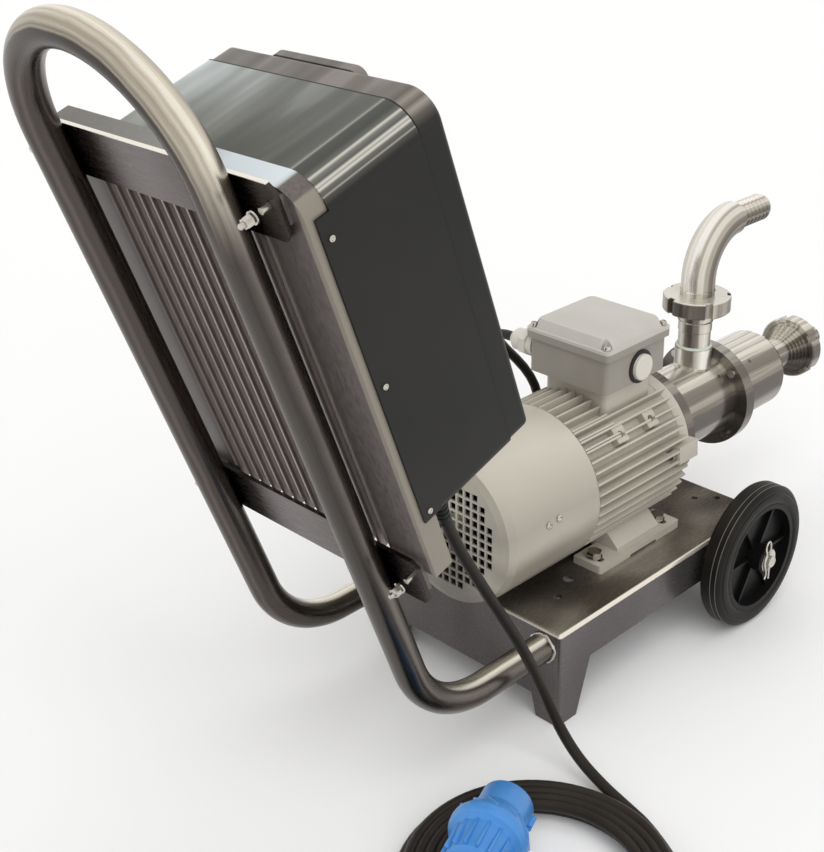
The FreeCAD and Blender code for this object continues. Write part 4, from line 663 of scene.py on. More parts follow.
LOW_RUN_REFLECTIONS = [
    (0.0, (0.15, 0.135, 0.12)), (0.05, (0.20, 0.178, 0.158)), (0.10, (0.12, 0.105, 0.093)),
    (0.125, (0.62, 0.58, 0.50)), (0.16, (0.88, 0.85, 0.76)), (0.19, (0.58, 0.54, 0.46)),
    (0.22, (0.88, 0.85, 0.76)), (0.26, (0.60, 0.56, 0.48)), (0.29, (0.16, 0.14, 0.122)),
    (0.50, (0.10, 0.088, 0.078)), (0.75, (0.12, 0.105, 0.093)), (0.86, (0.24, 0.215, 0.19)),
    (0.92, (0.11, 0.097, 0.086)),
]
HANDLE_HEEL = (station(HEEL_STATION, 0, TUBE_HEIGHT), (0, -LEAN, 0))

finish = Finish("tube_steel")
uv = Number(finish, finish.node("ShaderNodeTexCoord").outputs["UV"])
u, v = finish.parts(uv)[:2]
out, across, up = finish.measured_from(*HANDLE_HEEL)
wavering = v + (finish.noise(5.0, detail=2.0) - 0.5) * 0.08
wavering = wavering + (finish.noise(28.0, detail=4.0) - 0.5) * 0.05
crown_share = finish.rise(up - across * 0.55, 0.535, 0.625)
low_share = (1.0 - finish.rise(up, 0.0, 0.06)) * finish.rise(out, -0.01, 0.03)
# Painted reflection stripes of the legs and the crown, then of the low run.
colour = finish.blended(crown_share, finish.ramp(wavering, LEG_REFLECTIONS), finish.ramp(wavering, CROWN_REFLECTIONS))
colour = finish.blended(low_share, colour, finish.ramp(v, LOW_RUN_REFLECTIONS))
grain = streaks(finish, v, u, 90.0, 26.0)
colour = finish.times(colour, finish.ramp(grain, [(0.3, (0.82, 0.81, 0.80)), (0.7, WHITE)]))
tube_steel = finish.covered(colour, grain, (0.22, 0.34), 0.04, 1.0)
print("tube steel made")

# %% [markdown]
# ## Bracket steel
# The two brackets are plain folded sheet. Their colour holds painted shade and a
# painted reflection, paler in the middle, and one painted highlight line where the
# upper edge is folded.

# %% Bracket steel
BRACKET_SHADE_AND_REFLECTIONS = [
    (0.0, (0.060, 0.050, 0.046)), (0.30, (0.085, 0.072, 0.066)), (0.50, (0.17, 0.150, 0.148)),
    (0.66, (0.19, 0.165, 0.165)), (0.70, (0.11, 0.095, 0.088)), (0.76, (0.15, 0.13, 0.12)),
    (0.82, (0.06, 0.052, 0.047)), (0.92, (0.05, 0.043, 0.039)),
]
finish = Finish("bracket_steel")
across, up = finish.measured_from(*HANDLE_HEEL)[1:]
# Painted shade and reflection across the bracket.
colour = finish.ramp(across * 3.4 + 0.5, BRACKET_SHADE_AND_REFLECTIONS)
# Painted highlight along the folded upper edge.
colour = finish.blended(finish.rise(up, 0.5362, 0.5366), colour, (0.88, 0.84, 0.76))
bracket_steel = finish.covered(colour, finish.noise(60.0, (6, 1, 6), 4.0), (0.22, 0.32), 0.02, 1.0)
print("bracket steel made")

# %% [markdown]
# ## Heat sink metal
# The heat sink is satin aluminium. Its channels are deep and would show dark, so their
# walls are given a paler tone than the broad strips beside them as painted light. The
# fin tips and the outer side wall are paler, and the top, which faces the sky, carries
# a painted reflection of the sky.

# %% Heat sink metal
SINK_TOP_SKY_REFLECTION = [
    (0.2, (0.15, 0.14, 0.125)), (0.55, (0.24, 0.235, 0.22)), (0.72, (0.60, 0.66, 0.70)),
    (0.88, (0.66, 0.72, 0.75)), (0.93, (0.10, 0.10, 0.09)),
]
finish = Finish("sink_metal")
out, across, up = finish.measured_from(*HANDLE_HEEL)
grain = finish.noise(60.0, (6, 6, 0.6), 4.0)
strips = finish.ramp(grain, [(0.3, (0.10, 0.086, 0.080)), (0.7, (0.15, 0.130, 0.122))])
# Paler channel walls: painted light where the deep channels would be dark.
channels = finish.ramp(grain, [(0.3, (0.36, 0.30, 0.285)), (0.7, (0.44, 0.375, 0.355))])
finned = finish.within(across, -0.1045, 0.0795, 0.001) * (1.0 - finish.rise(up, 0.5270, 0.5285))
colour = finish.blended(finned * finish.rise(out, 0.0206, 0.0225), strips, channels)
colour = finish.blended(finned * (1.0 - finish.rise(out, 0.0190, 0.0196)), colour, (0.29, 0.25, 0.232))
colour = finish.blended(1.0 - finish.rise(across, -0.1440, -0.1425), colour, (0.27, 0.24, 0.20))
# Painted reflection of the sky on the top.
sink_top_reflection = finish.ramp(across * -3.0 + 0.5, SINK_TOP_SKY_REFLECTION)
colour = finish.blended(finish.rise(up, 0.5295, 0.5305), colour, sink_top_reflection)
sink_metal = finish.covered(colour, grain, (0.34, 0.46), 0.05, 0.35)
print("heat sink metal made")

# %% [markdown]
# ## The inverter's coating
# The cover is dark coated sheet. Its rounded upper corner and its top carry long soft
# reflections, which are painted into the colour: a ramp runs around the corner and on
# across the top, and painted reflection bands on the top grow brighter towards the
# cap. A thin dark seam shows where the front cap meets the cover.

# %% Inverter coating
COVER_SHINE = [
    (0.0, (0.010, 0.010, 0.009)), (0.06, (0.014, 0.014, 0.012)), (0.13, (0.07, 0.068, 0.060)),
    (0.145, (0.34, 0.33, 0.29)), (0.16, (0.09, 0.088, 0.078)), (0.20, (0.13, 0.127, 0.112)),
    (0.225, (0.62, 0.60, 0.54)), (0.245, (0.30, 0.29, 0.26)), (0.265, (0.60, 0.58, 0.52)),
    (0.29, (0.09, 0.09, 0.08)), (0.34, (0.16, 0.157, 0.14)), (0.37, (0.55, 0.54, 0.48)),
    (0.39, (0.12, 0.12, 0.107)), (0.45, (0.055, 0.058, 0.051)), (0.57, (0.060, 0.064, 0.057)),
    (0.605, (0.30, 0.30, 0.27)), (0.625, (0.085, 0.088, 0.078)), (0.72, (0.11, 0.115, 0.103)),
    (0.82, (0.19, 0.20, 0.185)), (0.90, (0.36, 0.385, 0.37)), (1.0, (0.60, 0.65, 0.65)),
]
CAP_SHINE = [
    (0.0, (0.012, 0.011, 0.010)), (0.10, (0.020, 0.018, 0.016)), (0.22, (0.10, 0.09, 0.078)),
    (0.30, (0.30, 0.27, 0.235)), (0.36, (0.12, 0.106, 0.092)), (0.44, (0.26, 0.235, 0.205)),
    (0.52, (0.11, 0.098, 0.085)), (0.62, (0.15, 0.135, 0.118)), (0.80, (0.14, 0.125, 0.11)),
    (1.0, (0.20, 0.185, 0.165)),
]
COATING = [(0.32, (0.008, 0.008, 0.007)), (0.68, (0.013, 0.012, 0.011))]
CORNER_UP = 0.506
CORNER_ACROSS = -0.125
COVER_SEAM = (0.1222, 0.1240)


def coated_cover(name, shine, seam=None):
    """Dark coating with painted reflections on its rounded upper corner and top, by the place on the leaning
    case.
    """
    finish = Finish(name)
    out, across, up = finish.measured_from(*HANDLE_HEEL)
    raised = finish.maths("MAXIMUM", up - CORNER_UP, 0.0)
    aside = finish.maths("MAXIMUM", CORNER_ACROSS - across, 0.0)
    corner = finish.maths("ARCTAN2", raised, aside) / (math.pi / 2)
    inward = finish.maths("MAXIMUM", across - CORNER_ACROSS, 0.0)
    over = corner * 0.62 + inward * 2.03
    plain = finish.ramp(finish.noise(12.0, detail=2.0), COATING)
    # Painted reflections around the corner and across the top.
    shiny = finish.ramp(over, shine)
    # Painted reflection bands on the flat top, brighter towards the cap.
    reflection_band = finish.noise(26.0, (0.10, 1.0, 0.4), 2.0, (0, LEAN, 0))
    reflection_band = finish.ramp(reflection_band, [(0.40, (0.62, 0.62, 0.62)), (0.56, WHITE), (0.62, (1.5, 1.5, 1.55))])
    reflection_fade = finish.ramp(finish.rise(out, 0.025, 0.120), [(0.0, (0.62, 0.60, 0.55)), (1.0, WHITE)])
    flat_top = finish.times(finish.times(shiny, reflection_fade), reflection_band)
    shiny = finish.blended(finish.rise(over, 0.61, 0.66), shiny, flat_top)
    colour = finish.blended(finish.rise(up, CORNER_UP, CORNER_UP + 0.003), plain, shiny)
    if seam:
        colour = finish.blended(finish.within(out, *seam, 0.0003), colour, (0.004, 0.004, 0.004))
    finish.shader.inputs["Specular IOR Level"].default_value = 0.25
    return finish.covered(colour, finish.noise(900.0, detail=3.0), (0.34, 0.44), 0.06)


cover_plastic = coated_cover("cover_plastic", COVER_SHINE, COVER_SEAM)
cap_plastic = coated_cover("cap_plastic", CAP_SHINE)
print("inverter coatings made")

# %% [markdown]
# ## The fan cover's paint
# The motor is painted pale grey. Its fan cover is smooth sheet, and its colour holds
# the pale paint with painted light and shade in broad soft bands around the motor's
# axis.

# %% Fan cover paint
FAN_COVER_LIGHT_AND_SHADE = [
    (0.0, (0.18, 0.165, 0.14)), (0.12, (0.34, 0.32, 0.27)), (0.45, (0.50, 0.47, 0.40)),
    (0.58, (0.60, 0.57, 0.48)), (0.66, (0.47, 0.44, 0.37)), (0.72, (0.38, 0.355, 0.295)),
    (0.76, (0.46, 0.43, 0.355)), (0.80, (0.34, 0.31, 0.26)), (0.84, (0.44, 0.41, 0.34)),
    (0.88, (0.26, 0.24, 0.20)), (0.94, (0.18, 0.165, 0.14)),
]
finish = Finish("fan_cover_paint")
y, z = finish.measured_from((0, 0, AXIS_HEIGHT * MM))[1:]
turned = finish.around(y * -1.0, z) + (finish.noise(10.0, detail=2.0) - 0.5) * 0.04
# Pale paint with painted light and shade around the motor's axis.
finish.feed(finish.shader.inputs["Base Color"], finish.ramp(turned, FAN_COVER_LIGHT_AND_SHADE))
finish.shader.inputs["Roughness"].default_value = 0.33
finish.shader.inputs["Metallic"].default_value = 0.15
fan_cover_paint = finish.material
print("fan cover paint with", len(FAN_COVER_LIGHT_AND_SHADE), "shades")

# %% [markdown]
# ## Paints, plastics and rubber
# These share one recipe: a slightly cloudy colour, and a fine noise for the
# roughness and the relief. A coarser noise and a stronger relief make cast paint,
# and a low specular level makes rubber.

# %% Paints, plastics and rubber


def paint(name, dark, light, rough, texture_scale, strength, coat=0.0, gloss=0.5):
    finish = Finish(name)
    colour = finish.ramp(finish.noise(14.0, detail=3.0), [(0.32, dark), (0.68, light)])
    finish.shader.inputs["Coat Weight"].default_value = coat
    finish.shader.inputs["Specular IOR Level"].default_value = gloss
    return finish.covered(colour, finish.noise(texture_scale, detail=3.0), rough, strength, height=0.0003)


motor_paint = paint("motor_paint", (0.46, 0.43, 0.365), (0.54, 0.505, 0.43), (0.36, 0.5), 420.0, 0.22)
box_paint = paint("box_paint", (0.26, 0.238, 0.205), (0.315, 0.29, 0.25), (0.42, 0.55), 520.0, 0.18)
lid_paint = paint("lid_paint", (0.50, 0.48, 0.44), (0.56, 0.54, 0.50), (0.42, 0.55), 520.0, 0.18)
tyre_rubber = paint(
    "tyre_rubber", (0.006, 0.005, 0.004), (0.014, 0.0118, 0.0095), (0.36, 0.50), 500.0, 0.20, gloss=0.16
)
# Paler rubber on the mould ribs: a painted highlight.
seam_highlight_rubber = paint("seam_highlight_rubber", (0.10, 0.095, 0.085), (0.17, 0.16, 0.145), (0.35, 0.5), 500.0, 0.10)
wheel_plastic = paint(
    "wheel_plastic", (0.003, 0.003, 0.003), (0.008, 0.0075, 0.007), (0.34, 0.46), 400.0, 0.10, gloss=0.15
)
cable_rubber = paint(
    "cable_rubber", (0.010, 0.0075, 0.0055), (0.024, 0.019, 0.0145), (0.36, 0.48), 700.0, 0.20, gloss=0.22
)
gland_plastic = paint(
    "gland_plastic", (0.010, 0.010, 0.010), (0.018, 0.018, 0.018), (0.35, 0.48), 600.0, 0.08, gloss=0.2
)
pale_gland = paint("pale_gland", (0.62, 0.59, 0.52), (0.70, 0.67, 0.60), (0.35, 0.48), 600.0, 0.08)
pale_tape = paint("pale_tape", (0.60, 0.66, 0.57), (0.70, 0.75, 0.66), (0.5, 0.6), 600.0, 0.2)
blue_plastic = paint(
    "blue_plastic", (0.050, 0.235, 0.60), (0.075, 0.285, 0.66), (0.30, 0.42), 260.0, 0.05, coat=0.1
)
stator_rubber = paint("stator_rubber", (0.02, 0.02, 0.02), (0.035, 0.035, 0.035), (0.55, 0.7), 300.0, 0.10)
fan_plastic = paint("fan_plastic", (0.02, 0.02, 0.02), (0.032, 0.032, 0.032), (0.4, 0.5), 300.0, 0.10)
circuit_green = paint("circuit_green", (0.01, 0.07, 0.03), (0.02, 0.12, 0.05), (0.3, 0.4), 200.0, 0.05)
key_plastic = paint("key_plastic", (0.10, 0.105, 0.10), (0.14, 0.145, 0.14), (0.4, 0.5), 500.0, 0.08)
display_glass = paint(
    "display_glass", (0.006, 0.008, 0.007), (0.010, 0.012, 0.011), (0.06, 0.10), 100.0, 0.0, coat=0.5
)
dark_hole = paint("dark_hole", (0.004, 0.004, 0.004), (0.008, 0.008, 0.008), (0.6, 0.7), 100.0, 0.0)
print("paints and plastics made")

# %% [markdown]
# ## Finishes on the CAD nodes
# Each node keeps its shape and gets the finish of the real part.

# %% Node finishes
NODE_FINISHES = [
    (tray_steel, "base_tray axle_mounts"),
    (axle_steel, "axle axle_washers axle_clips"),
    (bracket_steel, "handle_tube upper_bracket lower_bracket"),
    (bright_steel, "bracket_bolts bracket_nuts cover_screws foot_bolts shield_bolts"),
    (bright_steel, "shaft_bearings flange_screws seal_ring coupling_rod"),
    (sink_metal, "inverter_heatsink"),
    (cover_plastic, "inverter_cover"),
    (cap_plastic, "inverter_front_cap keypad_panel"),
    (circuit_green, "circuit_board"),
    (gland_plastic, "mains_gland"),
    (pale_gland, "motor_cable_glands blanking_plug"),
    (cable_rubber, "motor_cable mains_cord cord_coil"),
    (motor_paint, "motor_frame motor_feet rear_shield front_shield"),
    (core_steel, "stator_core rotor_core"),
    (copper, "stator_winding"),
    (fan_cover_paint, "fan_cover"),
    (box_paint, "terminal_box"),
    (lid_paint, "terminal_lid"),
    (pump_steel, "pump_casing stator_housing inlet_nut"),
    (stator_rubber, "seal_seat pump_stator"),
    (pipe_steel, "outlet_pipe"),
    (nut_steel, "outlet_nut"),
    (elbow_steel, "outlet_elbow"),
    (shaft_steel, "inlet_tail motor_shaft pump_rotor"),
    (blue_plastic, "mains_plug"),
    (brass, "plug_pins"),
    (tyre_rubber, "left_tyre right_tyre"),
    (wheel_plastic, "left_rim right_rim"),
    (fan_plastic, "cooling_fan"),
    (key_plastic, "key_run key_stop key_up key_down"),
]
finished = set()
for finish, names in NODE_FINISHES:
    for name in names.split():
        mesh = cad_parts[name].data
        mesh.materials.clear()
        mesh.materials.append(finish)
        finished.add(name)
print(len(finished), "nodes finished;", set(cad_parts) - finished, "left")

# %% [markdown]
# ## The handle tube
# The handle is one stainless tube, bent cold: up one leg, over the top and down the
# other. A Bezier curve takes the same route, with handle lengths that make each
# bend a true arc. Its round bevel becomes the tube's wall, and the mesh keeps a UV
# map that runs along and around it, which the painted reflection stripes need.

# %% Handle tube
TUBE_RADIUS = 13.45
HALF_SPAN = 92.4
HEEL_BEND = 93.0
CROWN_START = 536.4
HEEL_TURN = math.radians(70.0)
HEEL_REACH = HEEL_BEND * math.tan(HEEL_TURN / 2)
HEEL_PULL = 4 / 3 * math.tan(HEEL_TURN / 4) * HEEL_BEND
CROWN_PULL = 4 / 3 * math.tan(math.radians(22.5)) * HALF_SPAN


def leg_knots(y):
    """Knot, handle before and handle after, from the tray's rear wall up to the crown."""
    bend = HEEL_STATION + HEEL_REACH
    knots = []
    for x, before, after in ((0, 20, -20), (bend, 20, -HEEL_PULL)):
        knots.append([station(x + step, y, TUBE_HEIGHT) for step in (0, before, after)])
    for up, before, after in ((HEEL_REACH, -HEEL_PULL, 20), (CROWN_START, -20, CROWN_PULL)):
        knots.append([leaning(y, up + step, 0) for step in (0, before, after)])
    return knots


top = CROWN_START + HALF_SPAN
crown_knot = (leaning(0, top, 0), leaning(-CROWN_PULL, top, 0), leaning(CROWN_PULL, top, 0))
way_down = [(knot, after, before) for knot, before, after in reversed(leg_knots(HALF_SPAN))]
knots = leg_knots(-HALF_SPAN) + [crown_knot] + way_down
curve = bpy.data.curves.new("handle_sweep", "CURVE")
curve.dimensions = "3D"
spline = curve.splines.new("BEZIER")
spline.bezier_points.add(len(knots) - 1)
for point, (knot, before, after) in zip(spline.bezier_points, knots):
    point.handle_left_type = point.handle_right_type = "FREE"
    point.co, point.handle_left, point.handle_right = knot, before, after
spline.resolution_u = 28
curve.bevel_depth = TUBE_RADIUS * MM
curve.bevel_resolution = 12
handle = bpy.data.objects.new("handle_sweep", curve)
bpy.context.scene.collection.objects.link(handle)
pick(handle)
bpy.ops.object.convert(target="MESH")
handle = bpy.context.object
fit(handle, "chassis", tube_steel, ("handle_tube",), smooth=40)

# %% [markdown]
# ## Weld beads
# The tube's ends are welded to the tray's rear wall, and the outlet pipe is welded
# together from short lengths. A weld is a small uneven ring, so a ring is turned
# from a rounded profile and its points are then moved a little at random.

# %% Weld beads


def add_bead(name, radius, thickness, unevenness=0.35):
    profile = []
    for i in range(6):
        angle = 2 * math.pi * i / 6
        profile.append((thickness * math.cos(angle), radius + thickness * math.sin(angle)))
    bead = add_turned(name, profile, 40, closed=True)
    roughen(bead, unevenness, 3)
    return bead


tube_end = [facing(station(-1.2, y, TUBE_HEIGHT), (1, 0, 0)) for y in (-HALF_SPAN, HALF_SPAN)]
tube_welds = repeated(add_bead("tube_weld", TUBE_RADIUS + 0.3, 1.7), tube_end, "tube_welds")
fit(tube_welds, "chassis", bright_steel, smooth=60)

upright = [facing(station(346, 0, z), (0, 0, 1)) for z in (271.5, 304.5)]
pipe_welds = repeated(add_bead("pipe_weld", 17.4, 0.9, 0.15), upright, "pipe_welds")
fit(pipe_welds, "chassis", elbow_steel, smooth=60)

neck_weld = add_bead("neck_weld", 17.5, 1.0, 0.2)
place(neck_weld, facing(station(488, 0, AXIS_HEIGHT), (1, 0, 0)))
fit(neck_weld, "chassis", pump_steel, smooth=60)

# %% [markdown]
# ## Fins beside the terminal box
# The motor's frame also has fins on its top, between the fan cover and the
# pedestal of the terminal box. Each is a thin box whose upper edge is narrowed,
# as a cast fin's draft does, and its foot is sunk into the frame.

# %% Top fins


def add_fin(name, start, end, root, tip, foot, height):
    """A fin along X that stands on Z, narrower at its upper edge."""
    fin = add_box(name, (start, -root / 2, foot), (end, root / 2, height), 0)
    choose_faces(fin, lambda centre, normal: normal.z > 0.9)
    bpy.ops.transform.resize(value=(1, tip / root, 1))
    bpy.ops.object.mode_set(mode="OBJECT")
    return fin


axis_start = Matrix.Translation(station(0, 0, AXIS_HEIGHT))
around_top = [axis_start @ Matrix.Rotation(math.radians(turn), 4, "X") for turn in range(-48, 49, 8)]
top_fins = repeated(add_fin("top_fin", 96.3, 148.0, 3.4, 2.0, 64.0, 76.6), around_top, "top_fins")
fit(top_fins, "chassis", motor_paint, smooth=30)

# %% [markdown]
# ## Thread tape
# The outlet pipe screws into the boss, and a little of its sealing tape shows as a
# pale ring above the boss.

# %% Thread tape
TAPE_PROFILE = [(0, 16.6), (0, 18.5), (0.8, 19.0), (2.0, 18.4), (2.8, 17.2), (2.8, 16.6)]
tape = add_turned("thread_tape", TAPE_PROFILE, 48, closed=True)
roughen(tape, 0.25, 5)
place(tape, Matrix.Translation(station(346, 0, 242.0)))
fit(tape, "chassis", pale_tape, smooth=60)

# %% [markdown]
# ## Small screws
# One pan head with a hex socket serves the fan cover, and a smaller one the
# inverter's cover. The head is turned, its rim rounded by the profile, and the
# socket is an inset of the top face pushed down.

# %% Screws


def add_screw(name, radius, height, socket):
    """Round head that stands on z = 0, with a hex socket in its top."""
    rim = radius * 0.62
    profile = [(0, radius), (height * 0.55, radius), (height * 0.85, radius * 0.88), (height, rim)]
    head = add_turned(name, profile, 18)
    top = height * MM * 0.99
    recess(head, lambda centre, normal: centre.z > top, rim * (1 - socket), (0, 0, -height * 0.55))
    outwards(head)
    return head


def around_motor(x, angle, radius, side=-1):
    """A frame whose Z points away from the motor's axis, at an angle above the horizontal."""
    turn = math.radians(angle)
    away = Vector((0, side * math.cos(turn), math.sin(turn)))
    return facing(station(x, 0, AXIS_HEIGHT) + away * radius * MM, away)


FAN_COVER_RADIUS = 76.8
fan_screw_places = []
for x, angle in ((23, 8), (37, 9)):
    fan_screw_places += [around_motor(x, angle, FAN_COVER_RADIUS, side) for side in (-1, 1)]
fan_screws = repeated(add_screw("fan_screw", 3.4, 2.2, 0.6), fan_screw_places, "fan_cover_bolts")
fit(fan_screws, "chassis", bright_steel, smooth=40)

cover_places = [facing(leaning(-150, up, 33), (0, -1, 0)) for up in (489.0, 368.0, 250.0)]
cover_bolts = repeated(add_screw("cover_bolt", 2.5, 1.6, 0.55), cover_places, "cover_bolts")
fit(cover_bolts, "chassis", bright_steel, ("cover_screws",), smooth=40)

lid_places = [Matrix.Translation(station(x, y, 313.0)) for x in (139.0, 225.0) for y in (-44.0, 44.0)]
lid_screws = repeated(add_screw("lid_screw", 3.6, 4.6, 0.5), lid_places, "lid_screws")
fit(lid_screws, "chassis", bright_steel, smooth=40)

# %% [markdown]
# ## Bracket nuts
# Each bracket bolt ends towards the handle in a washer, a long hex nut and the
# bolt's threaded tip. They are turned from six and from many sides on one axis.

# %% Bracket nuts
NUT_PROFILE = [(2.2, 2.5), (2.2, 4.1), (2.7, 4.3), (7.6, 4.3), (8.2, 3.8), (8.2, 2.5)]
washer = add_turned("bracket_washer", [(0.1, 2.6), (0.1, 4.9), (1.4, 4.9), (1.4, 2.6)], 32, closed=True)
long_nut = add_turned("long_nut", NUT_PROFILE, 6, closed=True)
stud = add_turned("stud", [(-1.0, 2.3), (11.2, 2.3), (12.0, 1.6)], 20)
washer_and_nut = joined((washer, long_nut, stud), "washer_and_nut")
towards_handle = Vector(leaning(0, 0, -10)) - Vector(leaning(0, 0, 0))
nut_places = []
for height in (521.0, 188.0):
    for across, share in ((-128.0, 1.0), (114.0, 0.5)):
        seat = facing(leaning(across, height, 0.0), towards_handle)
        nut_places.append(seat @ Matrix.Diagonal((1, 1, share, 1)))
bracket_hardware = repeated(washer_and_nut, nut_places, "bracket_hardware")
fit(bracket_hardware, "chassis", bright_steel, ("bracket_nuts",), smooth=30)

# %% [markdown]
# ## Set screws in the pump
# Two small grub screws sit just under the surface, one in the suction chamber and
# one in the stator's barrel. Only their dark sockets show: a hex cup turned from
# six sides.

# %% Set screws


def add_socket(name, radius):
    profile = [(-1.5, radius * 0.6), (0.15, radius * 0.6), (0.25, radius), (-1.0, radius * 1.05)]
    return add_turned(name, profile, 6)


socket_places = [around_motor(355, 49, 43.0), around_motor(411, 48, 43.5)]
sockets = repeated(add_socket("grub_socket", 1.9), socket_places, "grub_screws")
fit(sockets, "chassis", dark_hole)

# %% [markdown]
# ## Seal under the blanking plug
# A dark rubber ring shows around the plug that closes the terminal box's spare
# opening.

# %% Plug seal
SEAL_PROFILE = [(-0.4, 12.5), (-0.4, 16.8), (1.2, 16.8), (1.7, 16.2), (1.7, 12.9)]
seal = add_turned("plug_seal", SEAL_PROFILE, 40, closed=True)
place(seal, facing(station(187, -47, 283), (0, -1, 0)))
fit(seal, "chassis", dark_hole, smooth=40)

# %% [markdown]
# ## Display window
# The keypad has a small window above its keys. It is left blank: a thin frame
# around a recessed dark pane.

# %% Display window
window = add_box("display_frame", (156.0, -66.0, 456.0), (157.2, 7.0, 516.0), 0.5)
recess(window, lambda centre, normal: normal.x > 0.9, 4.0, (-0.7, 0, 0))
place(window, LEANING)
fit(window, "chassis", display_glass, smooth=30)

# %% [markdown]
# ## Tyres
# The tyre is solid rubber on a plastic rim. Its profile has rounded shoulders and a
# low rib at each side of the tread, left by the mould. The ribs are separate thin
# rings of paler rubber, a painted highlight, because they catch more light than the
# rubber around them.

# %% Tyres
WHEEL_STATION = 273.5
WHEEL_RADIUS = 75.0
TYRE_PROFILE = [
    (121.0, 57.0), (121.0, 66.0), (122.2, 70.5), (124.0, 73.6), (126.5, 75.0), (135.5, 75.0),
    (136.2, 74.2), (140.6, 74.2),
    (141.2, 74.9), (142.4, 74.2), (144.6, 71.8), (145.4, 69.6), (145.4, 68.4), (146.6, 67.0),
    (147.0, 64.0), (147.0, 60.0),
    (146.0, 57.6), (145.5, 57.0),
]
SEAM_PROFILES = {
    "outer": [(141.0, 74.6), (141.4, 75.0), (141.8, 74.7), (141.4, 74.2)],
    "inner": [(135.2, 74.7), (135.6, 75.0), (136.0, 74.7), (135.6, 74.2)],
}
for body, side in (("left_wheel", 1), ("right_wheel", -1)):
    hub = facing(station(WHEEL_STATION, 0, WHEEL_RADIUS), (0, side, 0))
    tyre = add_turned("tyre_" + body, TYRE_PROFILE, 96, closed=True)
    place(tyre, hub)
    fit(tyre, body, tyre_rubber, (body.replace("wheel", "tyre"),), smooth=25)
    for label, profile in SEAM_PROFILES.items():
        seam = add_turned("seam_" + label + "_" + body, profile, 96, closed=True)
        place(seam, hub)
        fit(seam, body, seam_highlight_rubber, smooth=60)

# %% [markdown]
# ## The plug
# The lead ends in a blue industrial plug. Its grip, collar and skirt are turned in
# one piece. Curved ribs around the collar help the hand to turn it, and a small
# lug on the skirt keys it to the socket.

# %% Plug
PLUG_GRIP = station(-179.0, -192.0, 42.0)
PLUG_HEADING = math.radians(21.0)
PLUG_FRAME = facing(PLUG_GRIP, (math.cos(PLUG_HEADING), math.sin(PLUG_HEADING), 0))
PLUG_PROFILE = [
    (-70, 9.0), (-69, 11.5), (-60, 14.5), (-57, 16.5), (-55, 16.5), (-54, 15.0), (-50, 15.6),
    (-49, 17.4), (-47, 17.4),
    (-46, 16.0), (-43, 22.5), (-24, 24.8), (-16, 25.6), (-14.5, 27.0), (-13, 31.0), (-10, 33.0),
    (-6, 33.4), (-3, 33.1),
    (12, 25.4), (14, 23.6), (15.5, 22.6), (17, 22.4), (37, 22.4), (38, 21.8), (38, 20.4), (37.4, 19.9),
    (18, 19.9), (18, 8.0),
]
plug = add_turned("plug_body", PLUG_PROFILE, 64)
lug = add_box("plug_lug", (21.5, -3.2, 25.0), (26.5, 3.2, 37.0), 0.8)
recess(lug, lambda centre, normal: normal.x > 0.9, 1.2, (-0.8, 0, 0))
place(lug, Matrix.Rotation(math.radians(-160.0), 4, "Z"))

COLLAR_RIBS = 12
BACK_RIBS = 16
on_cone = Matrix.Translation((29.3 * MM, 0, 4.5 * MM)) @ Matrix.Rotation(math.radians(-27.2), 4, "Y")
swirled = on_cone @ Matrix.Rotation(math.radians(42.0), 4, "X")
rib = add_box("plug_rib", (-2.0, -1.3, -8.8), (1.0, 1.3, 8.8), 0.9)
places = [Matrix.Rotation(2 * math.pi * i / COLLAR_RIBS, 4, "Z") @ swirled for i in range(COLLAR_RIBS)]
collar_ribs = repeated(rib, places, "collar_ribs")

rib = add_box("back_rib", (22.6, -1.3, -42.0), (26.6, 1.3, -12.0), 0.8)
places = [Matrix.Rotation(2 * math.pi * (i + 0.5) / BACK_RIBS, 4, "Z") for i in range(BACK_RIBS)]
back_ribs = repeated(rib, places, "back_ribs")
plug = joined((plug, lug, collar_ribs, back_ribs), "plug_body")
place(plug, PLUG_FRAME)
fit(plug, "chassis", blue_plastic, ("mains_plug",), smooth=32)

# %% [markdown]
# ## The plug's pins
# Three round pins stand inside the skirt, with rounded tips. The earth pin is
# thicker than the other two, so its copy is scaled across.

# %% Plug pins
PIN_CIRCLE = 11.0
pin = add_turned("plug_pin", [(17.0, 2.6), (33.0, 2.6), (34.6, 1.8)], 20)
pin_places = []
for turn, thickness in ((0, 1.18), (120, 1.0), (240, 1.0)):
    seat = Matrix.Rotation(math.radians(turn), 4, "Z") @ Matrix.Translation((PIN_CIRCLE * MM, 0, 0))
    pin_places.append(seat @ Matrix.Diagonal((thickness, thickness, 1, 1)))
pins = repeated(pin, pin_places, "pins_of_plug")
place(pins, PLUG_FRAME)
fit(pins, "chassis", brass, ("plug_pins",), smooth=40)

# %% [markdown]
# ## The mains lead
# The lead is one length of rubber cable, so it is one curve: a NURBS spline with a
# round bevel. It leaves the gland under the inverter, hangs down past the fan
# cover to the floor, and goes into a loose coil there. The coil's turns are points
# of the same spline, twelve to a turn: half of them lie on the floor and half on
# top of those. Each turn has its own size, as in a lead dropped by hand, and the
# change from one size to the next is made at the near side. At its end the cable
# climbs over the turns into the back of the plug.

